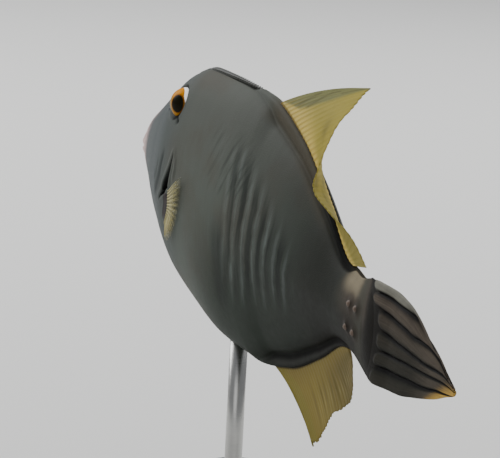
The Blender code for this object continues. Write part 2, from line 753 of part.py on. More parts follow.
def build_pelvic_rudiment(grown_body):
    """The small fixed barbed scute at the end of the pelvis."""
    height = section(PELVIC_STATION)[1]
    centre = place(PELVIC_STATION, 0.0, height)
    item = ellipsoid("pelvic_rudiment", centre, PELVIC_SIZE, 14, 8)
    back, left = directions(PELVIC_STATION)
    root = centre + back * BARB_ROOT[0] - Vector((0, 0, BARB_ROOT[1]))
    barbs = []
    for angle in BARB_ANGLES:
        lean = (back - Vector((0, 0, BARB_DROP)) + left * math.sin(math.radians(angle)) * BARB_SPLAY).normalized()
        barbs.append(tube("barb", [root + lean * reach for reach, radius in BARB_REACH],
                          [radius for reach, radius in BARB_REACH], 6))
    combine(item, "UNION", barbs)
    combine(item, "DIFFERENCE", [copy_of(grown_body, "cutter")])
    keep_largest(item)
    finish(item, "spine")


def build_stand(grown_body):
    """Flat base, collar and one rod up to the belly."""
    outline = []
    for sx, sy, first in ((1, 1, 0), (-1, 1, 90), (-1, -1, 180), (1, -1, 270)):
        centre = Vector((sx * (BASE_LENGTH / 2 - BASE_CORNER), sy * (BASE_WIDTH / 2 - BASE_CORNER), 0))
        for k in range(6):
            angle = math.radians(first + 90 * k / 5)
            outline.append(centre + BASE_CORNER * Vector((math.cos(angle), math.sin(angle), 0)))
    lift = Vector((0, 0, BASE_THICKNESS))
    base = loft("stand_base", [outline, [point + lift for point in outline]])
    bevel = base.modifiers.new("edge", "BEVEL")
    bevel.width = BASE_BEVEL
    bevel.segments = 2
    bevel.limit_method = "ANGLE"
    bevel.angle_limit = math.radians(60)
    evaluated_mesh(base)
    finish(base, "lacquer", 30)
    foot = BASE_THICKNESS + GAP
    profile = [(COLLAR_RADIUS, foot), (COLLAR_RADIUS, foot + COLLAR_HEIGHT * 0.5),
               (COLLAR_RADIUS * 0.8, foot + COLLAR_HEIGHT * 0.85), (ROD_RADIUS, foot + COLLAR_HEIGHT),
               (ROD_RADIUS, AXIS_HEIGHT + section(ROD_STATION)[1] + 0.004)]
    rings = []
    for radius, height in profile:
        rings.append([Vector((radius * math.cos(a), radius * math.sin(a), height))
                      for a in (2 * math.pi * k / SIDES for k in range(SIDES))])
    rod = loft("stand_rod", rings)
    combine(rod, "DIFFERENCE", [copy_of(grown_body, "cutter")])
    keep_largest(rod)
    finish(rod, "steel")


clear_scene()
build_body()
body_with_gap = body_solid("cutter", GAP)
build_eyes()
build_spine()
build_fins(body_with_gap)
build_tail_fin()
build_pelvic_rudiment(body_with_gap)
build_stand(body_with_gap)
remove(body_with_gap)
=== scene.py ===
"""A barred filefish at life size on a display stand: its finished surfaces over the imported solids.

The fish lies along X with its snout at -X, its left side faces -Y and up is +Z. A place on
the body is given by its station, which is the share of the standard length counted from the
snout, by its distance to the fish's left, and by its height over the body's axis.
"""

import logging
import math
from dataclasses import dataclass
from enum import Enum
from typing import Any, Optional, Sequence, Union

import bpy
import numpy as np
from mathutils import Matrix, Vector

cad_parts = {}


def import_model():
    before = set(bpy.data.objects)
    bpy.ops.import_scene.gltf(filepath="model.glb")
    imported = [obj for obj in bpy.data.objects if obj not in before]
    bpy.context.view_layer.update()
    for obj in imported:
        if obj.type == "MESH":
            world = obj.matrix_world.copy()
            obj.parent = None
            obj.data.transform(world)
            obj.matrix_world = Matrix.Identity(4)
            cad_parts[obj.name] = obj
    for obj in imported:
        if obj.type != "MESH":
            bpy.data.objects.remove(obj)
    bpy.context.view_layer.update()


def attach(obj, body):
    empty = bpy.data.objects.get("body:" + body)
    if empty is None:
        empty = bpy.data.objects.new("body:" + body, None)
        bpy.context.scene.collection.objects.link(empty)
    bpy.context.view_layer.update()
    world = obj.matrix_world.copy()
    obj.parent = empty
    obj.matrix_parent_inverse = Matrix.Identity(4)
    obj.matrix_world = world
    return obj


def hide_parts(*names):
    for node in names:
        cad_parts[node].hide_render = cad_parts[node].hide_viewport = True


Array = np.ndarray
Number = Union[float, Array]
Spot = tuple[float, float]
Path = tuple[Spot, ...]
Ramp = tuple[float, float, float, float]
Tint = tuple[float, float, float, float]

LOG = logging.getLogger("filefish")
ROOT_BODY = "root"
MM = 0.001
UP = np.array([0.0, 0.0, 1.0])
NO_TRIANGLES = np.zeros((0, 3), int)


class Side(Enum):
    """The two sides of the fish, with the sign of their distance to the fish's left."""

    LEFT = 1
    RIGHT = -1

    def named(self, start: str) -> str:
        """Name of a piece or node on this side."""
        return f"{start}_{self.name.lower()}"


class Slot(Enum):
    """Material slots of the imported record."""

    SKIN = "skin"
    STALK = "stalk"
    EYE = "eye"
    SPINE = "spine"
    FIN = "fin"
    TAIL = "tail"
    LACQUER = "lacquer"
    STEEL = "steel"


# Small maths


@dataclass(frozen=True)
class Profile:
    """A smooth curve through named points, which never overshoots between them."""

    points: Path

    def at(self, x: Number) -> Array:
        """Values of the curve.

        Args:
            x: Where to read it. Past its ends the curve keeps the end's value.

        Returns:
            The curve's values, in the shape of x.
        """
        xs, ys = np.array(self.points, float).T
        x = np.clip(np.asarray(x, float), xs[0], xs[-1])
        steps = np.diff(xs)
        slopes = np.diff(ys) / steps
        tangents = np.zeros_like(xs)
        tangents[0], tangents[-1] = slopes[0], slopes[-1]
        before, after = slopes[:-1], slopes[1:]
        same_way = before * after > 0
        weight_before = 2 * steps[1:] + steps[:-1]
        weight_after = steps[1:] + 2 * steps[:-1]
        total = weight_before / np.where(same_way, before, 1) + weight_after / np.where(same_way, after, 1)
        harmonic = (weight_before + weight_after) / np.where(same_way, total, 1)
        tangents[1:-1] = np.where(same_way, harmonic, 0)
        i = np.clip(np.searchsorted(xs, x) - 1, 0, len(steps) - 1)
        t = (x - xs[i]) / steps[i]
        rise = ys[i] * (1 + 2 * t) * (1 - t) ** 2 + ys[i + 1] * t * t * (3 - 2 * t)
        return rise + steps[i] * t * (1 - t) * (tangents[i] * (1 - t) - tangents[i + 1] * t)


def smooth(low: float, high: float, x: Number) -> Array:
    """Share from 0 at low to 1 at high, eased at both ends; low may be above high."""
    t = np.clip((np.asarray(x, float) - low) / (high - low), 0, 1)
    return t * t * (3 - 2 * t)


def between(rise: float, full: float, fall: float, end: float, x: Number) -> Array:
    """Share that eases from 0 at rise to 1 at full, and from 1 at fall to 0 at end."""
    return smooth(rise, full, x) * smooth(end, fall, x)


def hump(x: Number, width: float) -> Array:
    """Bell curve of height 1 round zero."""
    return np.exp(-((np.asarray(x, float) / width) ** 2))


def unit(vectors: Array) -> Array:
    """Vectors made one long along their last axis."""
    return vectors / np.maximum(np.linalg.norm(vectors, axis=-1, keepdims=True), 1e-12)


def ripple(x: Number, seed: float) -> Array:
    """Fixed uneven number from 0 to 1 for each whole number."""
    return np.modf(np.abs(np.sin(np.asarray(x, float) * 12.9898 + seed * 78.233) * 43758.5453))[0]


def circle(count: int) -> Array:
    """Angles of evenly spaced points round a circle, in radians."""
    return 2 * np.pi * np.arange(count) / count


def segment_reach(x: Array, y: Array, start: Spot, end: Spot) -> tuple[Array, Array]:
    """How points lie to a segment.

    Args:
        x: First coordinates of the points.
        y: Second coordinates of the points.
        start: Where the segment starts.
        end: Where it ends.

    Returns:
        Each point's share along the segment, from 0 to 1, and its distance from it.
    """
    ax, ay = end[0] - start[0], end[1] - start[1]
    share = np.clip(((x - start[0]) * ax + (y - start[1]) * ay) / (ax * ax + ay * ay), 0, 1)
    return share, np.hypot(x - start[0] - ax * share, y - start[1] - ay * share)


# Meshes


@dataclass
class Surface:
    """Points with the faces between them, and the points' named numbers, which materials read."""

    points: Array
    quads: Array
    triangles: Array
    marks: dict[str, Array]


def grid_quads(across: int, down: int, first: int = 0, around: bool = False, flip: bool = False) -> Array:
    """Quads of a grid of points that is stored column by column.

    Args:
        across: Number of columns.
        down: Number of points in a column.
        first: Index of the first point.
        around: Whether each column closes on itself.
        flip: Whether the faces look the other way.

    Returns:
        Four point indices for each quad.
    """
    i, j = np.meshgrid(np.arange(across - 1), np.arange(down if around else down - 1), indexing="ij")
    k = (j + 1) % down
    corners = [i * down + j, (i + 1) * down + j, (i + 1) * down + k, i * down + k]
    quads = np.stack(corners, -1).reshape(-1, 4) + first
    return quads[:, ::-1] if flip else quads


def ring_stack(rings: Array, **marks: Number) -> Surface:
    """Closed surface through rings, with a centre point at both ends.

    Args:
        rings: Places of the rings' points, as rings by points by 3.
        **marks: Named numbers, of each point, of each ring or of them all. A centre point takes
            the mean of its ring.

    Returns:
        The surface.
    """
    count, around = rings.shape[:2]
    points = np.concatenate([rings.reshape(-1, 3), rings[0].mean(0)[None], rings[-1].mean(0)[None]])
    k = np.arange(around)
    following = (k + 1) % around
    total = count * around
    first = np.stack([np.full(around, total), k, following], -1)
    last = np.stack([np.full(around, total + 1), total - around + following, total - around + k], -1)
    full = {}
    for name, values in marks.items():
        spread = np.broadcast_to(values, (count, around))
        full[name] = np.append(spread.ravel(), [spread[0].mean(), spread[-1].mean()])
    return Surface(points, grid_quads(count, around, around=True), np.concatenate([first, last]), full)


def tube_rings(centres: Array, radii: Array, sides: int) -> Array:
    """Rings of a round tube along points.

    Args:
        centres: Points that the tube follows.
        radii: Its radius at each point.
        sides: Points of each ring.

    Returns:
        The rings, as rings by points by 3.
    """
    heading = unit(np.gradient(centres, axis=0))
    helper = np.where(np.abs(heading[:, 2:3]) < 0.9, [UP], [[1.0, 0.0, 0.0]])
    first = unit(np.cross(heading, helper))
    second = np.cross(heading, first)
    angle = circle(sides)
    spokes = np.cos(angle)[None, :, None] * first[:, None] + np.sin(angle)[None, :, None] * second[:, None]
    return centres[:, None] + spokes * np.asarray(radii)[:, None, None]


def two_faced(faces: Array, **marks: Array) -> Surface:
    """Closed surface of two grids of points back to back, joined along their border.

    Args:
        faces: Places of both grids' points, as 2 by columns by points by 3.
        **marks: Named numbers of the grid's points, or of both faces'.

    Returns:
        The surface.
    """
    across, down = faces.shape[1:3]
    count = across * down
    border = np.concatenate([np.arange(across) * down, (across - 1) * down + np.arange(1, down),
                             np.arange(across - 2, -1, -1) * down + down - 1, np.arange(down - 2, 0, -1)])
    following = np.roll(border, -1)
    rim = np.stack([border, border + count, following + count, following], -1)
    quads = np.concatenate([grid_quads(across, down), grid_quads(across, down, count, flip=True), rim])
    full = {name: np.broadcast_to(values, (2, across, down)).ravel() for name, values in marks.items()}
    return Surface(faces.reshape(-1, 3), quads, NO_TRIANGLES, full)


def joined(parts: Sequence[Surface]) -> Surface:
    """Several closed surfaces as one.

    Args:
        parts: The surfaces, all with the same marks.

    Returns:
        The one surface.
    """
    starts = np.cumsum([0, *(len(part.points) for part in parts[:-1])])
    return Surface(np.concatenate([part.points for part in parts]),
                   np.concatenate([part.quads + start for part, start in zip(parts, starts)]),
                   np.concatenate([part.triangles + start for part, start in zip(parts, starts)]),
                   {name: np.concatenate([part.marks[name] for part in parts]) for name in parts[0].marks})


def make_mesh(name: str, surface: Surface, smooth_shaded: bool = True) -> bpy.types.Object:
    """Mesh object of a surface, with its faces turned outward.

    Args:
        name: Name of the object.
        surface: What it is made of.
        smooth_shaded: Whether the faces are shaded smooth.

    Returns:
        The new object, linked to the scene.
    """
    points, groups = surface.points, (surface.quads, surface.triangles)
    middle = points.mean(0)
    volume = 0.0
    for group in groups:
        for k in range(1, group.shape[1] - 1):
            a, b, c = (points[group[:, n]] - middle for n in (0, k, k + 1))
            volume += float(np.einsum("ij,ij->i", a, np.cross(b, c)).sum())
    groups = [group[:, ::-1] if volume < 0 else group for group in groups]
    sizes = np.concatenate([np.full(len(group), group.shape[1]) for group in groups])
    corners = np.concatenate([group.ravel() for group in groups])
    mesh = bpy.data.meshes.new(name)
    mesh.vertices.add(len(points))
    mesh.vertices.foreach_set("co", points.astype(np.float32).ravel())
    mesh.loops.add(len(corners))
    mesh.loops.foreach_set("vertex_index", corners.astype(np.int32))
    mesh.polygons.add(len(sizes))
    mesh.polygons.foreach_set("loop_start", (np.cumsum(sizes) - sizes).astype(np.int32))
    mesh.polygons.foreach_set("use_smooth", np.full(len(sizes), smooth_shaded))
    mesh.update(calc_edges=True)
    for mark, values in surface.marks.items():
        layer = mesh.attributes.new(mark, "FLOAT", "POINT")
        layer.data.foreach_set("value", values.astype(np.float32))
    item = bpy.data.objects.new(name, mesh)
    bpy.context.scene.collection.objects.link(item)
    return item


def add_piece(name: str, surface: Surface, material: bpy.types.Material, slot: Slot, *nodes: str) -> None:
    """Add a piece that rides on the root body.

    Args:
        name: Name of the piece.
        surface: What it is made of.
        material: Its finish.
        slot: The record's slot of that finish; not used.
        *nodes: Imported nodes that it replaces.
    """
    item = make_mesh(name, surface)
    item.data.materials.append(material)
    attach(item, ROOT_BODY)
    if nodes:
        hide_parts(*nodes)
    LOG.info("%s: %d faces", item.name, len(item.data.polygons))


# Shaders


def tint(red: int, green: int, blue: int) -> Tint:
    """Linear colour from the 0 to 255 numbers of a display colour."""
    shares = (value / 255 for value in (red, green, blue))
    return *(v / 12.92 if v <= 0.04045 else ((v + 0.055) / 1.055) ** 2.4 for v in shares), 1.0


Operand = Union["Value", float]
Paint = Union["Value", Tint]


class Value:
    """A number, vector or colour that varies over a surface; arithmetic on it adds Math nodes."""

    def __init__(self, shader: "Shader", socket: Optional[bpy.types.NodeSocket]) -> None:
        """Wrap a socket of a shader."""
        self.shader = shader
        self.socket = socket

    def _math(self, operation: str, *operands: Operand) -> "Value":
        """Math node of that operation over the operands."""
        return self.shader.node("ShaderNodeMath", {"operation": operation}, dict(enumerate(operands)))

    def __add__(self, other: Operand) -> "Value":
        """Sum."""
        return self._math("ADD", self, other)

    def __radd__(self, other: float) -> "Value":
        """Sum with a number before it."""
        return self._math("ADD", other, self)

    def __sub__(self, other: Operand) -> "Value":
        """Difference."""
        return self._math("SUBTRACT", self, other)

    def __rsub__(self, other: float) -> "Value":
        """Difference from a number."""
        return self._math("SUBTRACT", other, self)

    def __mul__(self, other: Operand) -> "Value":
        """Product."""
        return self._math("MULTIPLY", self, other)

    def __rmul__(self, other: float) -> "Value":
        """Product with a number before it."""
        return self._math("MULTIPLY", other, self)

    def cosine(self) -> "Value":
        """Cosine of an angle in radians."""
        return self._math("COSINE", self)

    def highest(self, other: Operand) -> "Value":
        """The larger of two values."""
        return self._math("MAXIMUM", self, other)

    def from_whole(self) -> "Value":
        """Distance from the nearest whole number, from 0 to a half."""
        return self._math("PINGPONG", self, 0.5)

    def smooth(self, low: float, high: float) -> "Value":
        """Share from 0 at low to 1 at high, eased at both ends; low may be above high."""
        if low > high:
            return 1.0 - self.smooth(high, low)
        return self.shader.node("ShaderNodeMapRange", {"interpolation_type": "SMOOTHSTEP"},
                                {"Value": self, "From Min": low, "From Max": high})

    def between(self, rise: float, full: float, fall: float, end: float) -> "Value":
        """Share that eases from 0 at rise to 1 at full, and from 1 at fall to 0 at end."""
        return self.smooth(rise, full) * self.smooth(end, fall)


class Shader:
    """Builds one node material."""

    def __init__(self, name: str) -> None:
        """Start an empty material.

        Args:
            name: Name of the material.
        """
        self.material = bpy.data.materials.new(name)
        self.material.use_nodes = True
        self.tree = self.material.node_tree
        self.tree.nodes.clear()

    def node(self, kind: str, settings: Optional[dict[str, Any]] = None,
             inputs: Optional[dict[Union[str, int], Any]] = None, output: Union[str, int] = 0) -> Value:
        """Add one node.

        Args:
            kind: Type of the node.
            settings: Its settings, which are set first.
            inputs: Values or links of its sockets, by name or number.
            output: The output to hand on, by name or number.

        Returns:
            That output, which is empty for a node that has none.
        """
        made = self.tree.nodes.new(kind)
        for name, value in (settings or {}).items():
            setattr(made, name, value)
        for key, value in (inputs or {}).items():
            if isinstance(value, Value):
                self.tree.links.new(value.socket, made.inputs[key])
            else:
                made.inputs[key].default_value = value
        return Value(self, made.outputs[output] if len(made.outputs) else None)

    def mark(self, name: str) -> Value:
        """Named number of the mesh's points."""
        return self.node("ShaderNodeAttribute", {"attribute_name": name}, output="Fac")

    def place(self) -> Value:
        """Place on the object, in metres."""
        return self.node("ShaderNodeTexCoord", output="Object")

    def vector(self, x: Operand, y: Operand, z: Operand) -> Value:
        """Vector of three numbers."""
        return self.node("ShaderNodeCombineXYZ", {}, {"X": x, "Y": y, "Z": z})

    def scaled(self, at: Value, factors: tuple[float, float, float]) -> Value:
        """Place that is stretched along its axes."""
        return self.node("ShaderNodeVectorMath", {"operation": "MULTIPLY"}, {0: at, 1: factors})

    def noise(self, at: Value, scale: float, detail: float = 2.0, rough: float = 0.5) -> Value:
        """Noise of about 0 to 1.

        Args:
            at: Where to read it.
            scale: Number of its humps in one unit.
            detail: How many finer layers it has.
            rough: How strong they are.

        Returns:
            The noise's value.
        """
        inputs = {"Vector": at, "Scale": scale, "Detail": detail, "Roughness": rough}
        return self.node("ShaderNodeTexNoise", {}, inputs, "Fac")

    def cells(self, at: Value, scale: float) -> Value:
        """Distance to the middle of the nearest of small cells."""
        return self.node("ShaderNodeTexVoronoi", {}, {"Vector": at, "Scale": scale}, "Distance")

    def mix(self, share: Operand, first: Paint, second: Paint, blend: str = "MIX") -> Value:
        """Two colours mixed.

        Args:
            share: How much of the second one there is.
            first: The colour below.
            second: The colour over it.
            blend: How they are mixed.

        Returns:
            The mixed colour.
        """
        settings = {"data_type": "RGBA", "blend_type": blend}
        return self.node("ShaderNodeMix", settings, {0: share, 6: first, 7: second}, 2)

    def layers(self, ground: Paint, *over: tuple[Operand, Paint]) -> Paint:
        """Colours laid over one another.

        Args:
            ground: The lowest colour.
            *over: How much there is of each colour over it, and that colour.

        Returns:
            The colour that shows.
        """
        for share, colour in over:
            ground = self.mix(share, ground, colour)
        return ground

    def mottled(self, colour: Paint, lighter: Value, depth: float, dark: Paint) -> Value:
        """Colour made uneven.

        Args:
            colour: The even colour.
            lighter: Where it is lighter, from 0 to 1.
            depth: How uneven it is.
            dark: Colour of its dark places.

        Returns:
            The uneven colour.
        """
        low, high = self.mix(depth, colour, dark), self.mix(depth, colour, colour, "ADD")
        return self.mix(lighter.smooth(0.0, 1.0), low, high)

    def relief(self, height: Value, depth: float, strength: float = 1.0) -> Value:
        """Surface normal of a height that is given in shares of a depth in metres."""
        return self.node("ShaderNodeBump", {}, {"Height": height, "Distance": depth, "Strength": strength})

    def principled(self, colour: Paint, roughness: Operand, normal: Optional[Value] = None,
                   **others: Any) -> Value:
        """Principled surface.

        Args:
            colour: Its colour.
            roughness: Its roughness.
            normal: Its surface normal, if it has relief.
            **others: Its other sockets, by their names with _ for a blank.

        Returns:
            The surface.
        """
        inputs: dict[Union[str, int], Any] = {"Base Color": colour, "Roughness": roughness}
        if normal is not None:
            inputs["Normal"] = normal
        for name, value in others.items():
            inputs[name.replace("_", " ")] = value
        return self.node("ShaderNodeBsdfPrincipled", {}, inputs)

    def thin(self, surface: Value, colour: Paint, share: Operand) -> Value:
        """Surface that lets a share of the light through it, in a colour."""
        through = self.node("ShaderNodeBsdfTranslucent", {}, {"Color": colour})
        return self.node("ShaderNodeMixShader", {}, {0: share, 1: surface, 2: through})

    def done(self, surface: Value) -> bpy.types.Material:
        """The material with that surface."""
        self.node("ShaderNodeOutputMaterial", {}, {"Surface": surface})
        return self.material


@dataclass(frozen=True)
class SkinFinish:
    """Slate-grey velvety fish skin with faint bars and a pale snout, darker to the rear partly as painted
    shade, with a painted rim highlight on the snout, a painted highlight on the stalk's top, and painted
    shade in creases, slits, grooves, the mouth and beside the fins.
    """

    flank: Tint = tint(82, 88, 81)
    back: Tint = tint(84, 87, 81)
    head: Tint = tint(78, 84, 84)
    rear: Tint = tint(31, 36, 30)
    belly: Tint = tint(28, 38, 28)
    warm: Tint = tint(78, 70, 60)
    snout: Tint = tint(80, 84, 92)
    # Pale pink snout ridge and chin: partly pale skin, partly a painted rim highlight along their outline.
    snout_pale_and_highlight: Tint = tint(210, 184, 178)
    lips: Tint = tint(216, 192, 186)
    stalk: Tint = tint(70, 64, 56)
    stalk_low: Tint = tint(31, 30, 25)
    # Painted highlight on the top of the tail stalk.
    stalk_highlight: Tint = tint(136, 126, 104)
    stalk_band: Tint = tint(62, 62, 54)
    # Dark of the tail's root, also painted as shade before the stalk and along the anal fin's base.
    tail_root_and_shade: Tint = tint(27, 25, 22)
    fin_root: Tint = tint(52, 43, 44)
    light_bar: Tint = tint(62, 68, 68)
    dark_bar: Tint = tint(128, 136, 136)
    sheath: Tint = tint(73, 66, 52)
    # Near black: painted shade in creases, slits, grooves and the mouth, and the dark side of the mottling.
    black: Tint = tint(4, 4, 4)
    # Painted shadow round the stalk's spines.
    nub_shadow_tint: Tint = tint(50, 43, 38)
    bar_pitch: float = 0.0345
    bar_start: float = 0.575
    bar_bow: float = 0.9
    bar_level: float = 0.015
    scale_size: float = 2100.0

    def ground(self, s: Shader, station: Value, height: Value, at: Value) -> Value:
        """Large tones of the body, with painted shade low on the flank, towards the rear and before the
        stalk, and a painted highlight on the stalk's top.

        Args:
            s: The shader.
            station: Stations of the skin.
            height: Heights of the skin.
            at: Place on the skin.

        Returns:
            The colour below all markings.
        """
        blotch = s.noise(at, 38, 3).smooth(0.45, 0.72)
        # Darker low on the flank towards the belly, partly painted shade where the surface faces down.
        low = station.smooth(0.35, 0.52) * height.smooth(0.05, -0.14)
        # Darker towards the rear, partly the fish's own tone and partly painted shade.
        behind = station.smooth(0.48, 0.86) * (height.smooth(0.17, -0.08) * 0.3 + 0.7)
        # Painted shade before the tail stalk.
        shaded = station.between(0.74, 0.84, 0.88, 0.93)
        stalk = s.mix(height.smooth(0.028, -0.012), self.stalk, self.stalk_low)
        # Painted highlight on the stalk's top.
        stalk_top_highlight = station.between(0.905, 0.935, 0.955, 1.0) * height.smooth(0.022, 0.045)
        band = station.between(0.966, 0.984, 0.990, 1.004) * height.smooth(-0.07, -0.01)
        return s.layers(
            self.flank, (height.smooth(-0.02, 0.17), self.back), (blotch * 0.38, self.warm),
            (station.smooth(0.37, 0.22), self.head), (low * 0.85, self.belly), (behind, self.rear),
            (shaded * 0.5, self.tail_root_and_shade), (station.smooth(0.89, 0.95), stalk),
            (stalk_top_highlight * 0.9, self.stalk_highlight), (band * 0.8, self.stalk_band),
            (station.smooth(0.13, 0.0) * 0.5, self.snout))

    def bars(self, s: Shader, station: Value, height: Value, streak: Value, colour: Value) -> Value:
        """Add the faint upright bars of the rear flank.

        Args:
            s: The shader.
            station: Stations of the skin.
            height: Heights of the skin.
            streak: Fine upright streaks.
            colour: Colour below them.

        Returns:
            The colour with its bars.
        """
        level = height - self.bar_level
        turn = (station + level * level * self.bar_bow - self.bar_start) * (2 * math.pi / self.bar_pitch)
        drift = s.noise(s.vector(station * 12.0, height * 15.0, 2.0), 1.0, 2)
        rough = s.noise(s.vector(station * 62.0, height * 26.0, 4.0), 1.0, 3, 0.6)
        wave = (turn + (drift - 0.5) * 3.4).cosine() + (rough - 0.5) * 1.9
        uneven = s.noise(s.vector(station * 42.0, height * 7.0, 0.0), 1.0, 2).smooth(0.25, 0.65)
        reach = station.between(0.51, 0.57, 0.725, 0.79)
        upper_end = height + (station - 0.58) * 0.46
        lower_end = height - (station - 0.60) * 0.30
        reach = reach * upper_end.smooth(0.13, 0.07) * lower_end.smooth(-0.125, -0.06) * (uneven * 0.7 + 0.3)
        dark = wave.smooth(0.35, -0.65) * reach * (streak * 0.7 + 0.5)
        colour = s.mix(dark, colour, self.dark_bar, "MULTIPLY")
        light = wave.smooth(0.40, 1.1) * reach * (streak * 0.8 + 0.45)
        colour = s.mix(light, colour, self.light_bar, "ADD")
        colour = s.mix(reach * streak.smooth(0.54, 0.36) * 0.35, colour, self.dark_bar, "MULTIPLY")
        slanting = s.vector((station - height * 0.55) * 95.0, (height + station) * 7.0, 1.0)
        fine = s.noise(slanting, 1.0, 3, 0.55)
        above = station.between(0.44, 0.49, 0.56, 0.62) * height.smooth(0.03, 0.06)
        above = above * height.smooth(0.15, 0.11)
        colour = s.mix(above * fine.smooth(0.52, 0.70) * 0.25, colour, self.light_bar, "ADD")
        colour = s.mix(above * fine.smooth(0.50, 0.32) * 0.45, colour, self.dark_bar, "MULTIPLY")
        before = station.between(0.485, 0.515, 0.525, 0.55)
        before = before * height.smooth(0.02, -0.04) * height.smooth(-0.17, -0.10)
        return s.mix(before * (streak * 0.9 + 0.15), colour, self.dark_bar, "MULTIPLY")

    def build(self) -> bpy.types.Material:
        """Paint the skin.

        Returns:
            The material.
        """
        s = Shader("fish_skin")
        at = s.place()
        station, height = s.mark("station"), s.mark("height")
        ridge, keel = s.mark("ridge"), s.mark("keel")
        crease = s.mark("crease")
        grain = s.noise(at, 420, 3, 0.6)
        streak = s.noise(s.vector(station * 150.0, height * 9.0, ridge), 1.0, 3, 0.6)
        scales = s.cells(at, self.scale_size)
        sheath = station.between(0.54, 0.60, 0.72, 0.84) * ridge.smooth(0.034, 0.016)
        # Painted shadow where the flank overhangs the anal fin's base.
        anal_base_shadow = station.between(0.55, 0.64, 0.92, 0.97) * keel.smooth(0.045, 0.012)
        # Pale snout and chin: partly pale skin, partly a painted rim highlight along the snout's ridge and
        # chin.
        front = (station + (grain - 0.5) * 0.05).smooth(0.10, 0.03) * height.smooth(-0.055, -0.015)
        front = front.highest(station.smooth(0.19, 0.10) * ridge.smooth(0.026, 0.004) * 0.8)
        chin = station.smooth(0.10, 0.03) * keel.smooth(0.016, 0.004)
        colour = s.layers(
            self.bars(s, station, height, streak, self.ground(s, station, height, at)),
            (sheath * 0.7, self.sheath), (anal_base_shadow * 0.6, self.tail_root_and_shade), (front * 0.85, self.snout_pale_and_highlight),
            (chin * 0.8, self.snout_pale_and_highlight), (s.mark("lips"), self.lips),
            (s.mark("nubs") * 0.5, self.nub_shadow_tint), (s.mark("fin_root") * 0.9, self.fin_root),
            (station.smooth(0.996, 1.015), self.tail_root_and_shade))
        speckle = (grain - 0.5) * 0.24 + (scales - 0.45) * 0.16 + (streak - 0.5) * 0.22
        # Painted shade: the crease mark paints slits, creases, grooves, the mouth and the sockets' edges
        # near black.
        colour = s.mix(crease, s.mottled(colour, speckle + 0.5, 0.22, self.black), self.black)
        normal = s.relief(scales * 0.5 + grain * 0.35 + streak * 0.25, 0.10 * MM, 0.8)
        roughness = grain * 0.16 + 0.50 + crease * 0.3
        return s.done(s.principled(colour, roughness, normal, Specular_IOR_Level=0.09))


@dataclass(frozen=True)
class FinFinish:
    """Thin fin membrane over fine rays."""

    name: str
    membrane: Tint
    ray: Tint
    root: Tint
    rear: Tint
    front: Tint
    streak: Tint
    shade: Tint
    rim: Tint
    rear_start: float = 0.45
    through: float = 0.5
    mottle: float = 1.0
    stripes: float = 0.35
    outer_rays: float = 0.0
    pale_ray: Tint = tint(214, 204, 148)
    fading: bool = False

    def build(self) -> bpy.types.Material:
        """Paint the fin.

        Returns:
            The material.
        """
        s = Shader(self.name)
        ray, reach, share, crest = (s.mark(name) for name in ("ray", "reach", "share", "crest"))
        fine = s.noise(s.vector(ray * 2.2, reach * 3.0, 0.0), 1.0, 3, 0.6)
        grain = s.noise(s.place(), 600, 2)
        outer = crest * reach.smooth(0.35, 0.75) * share.smooth(0.25, 0.5)
        outer = outer * (fine.smooth(0.3, 0.6) * 0.8 + 0.2)
        colour = s.layers(
            self.membrane, (share.smooth(self.rear_start, self.rear_start + 0.4), self.rear),
            (reach.smooth(0.40, 0.02) * 0.92, self.root), (s.mark("front") * (fine * 0.5 + 0.7), self.front),
            (crest * (reach.smooth(0.38, 0.06) * self.stripes + 0.06), self.ray),
            (outer * self.outer_rays, self.pale_ray), (s.mark("folds") * 0.7, self.shade),
            (s.mark("streaks") * (fine * 0.5 + 0.45), self.streak),
            (reach.smooth(0.022, 0.006) * 0.8, self.rim))
        joints = (reach * 46.0 + ray * 0.37).from_whole()
        ticks = joints.smooth(0.40, 0.5) * crest * reach.smooth(0.25, 0.5)
        uneven = ((fine - 0.5) * 0.36 + (grain - 0.5) * 0.18 - ticks * 0.10) * self.mottle + 0.5
        dark, light = s.mix(0.30, colour, self.shade), s.mix(0.25, colour, self.root)
        colour = s.mix(uneven.smooth(0.0, 1.0), dark, light)
        normal = s.relief(crest * 0.6 + fine * 0.4 - ticks * 0.4, 0.10 * MM, 0.7)
        if self.fading:
            fade = reach.smooth(0.25, 1.0)
            alpha = (1.0 - fade * 0.85) * (crest * 0.4 + 0.6) * (1.0 - fade * (1.0 - crest) * 0.7)
            return s.done(s.principled(colour, 0.5, normal, Specular_IOR_Level=0.3, Alpha=alpha))
        surface = s.principled(colour, 0.5, normal, Specular_IOR_Level=0.15)
        return s.done(s.thin(surface, colour, self.through))


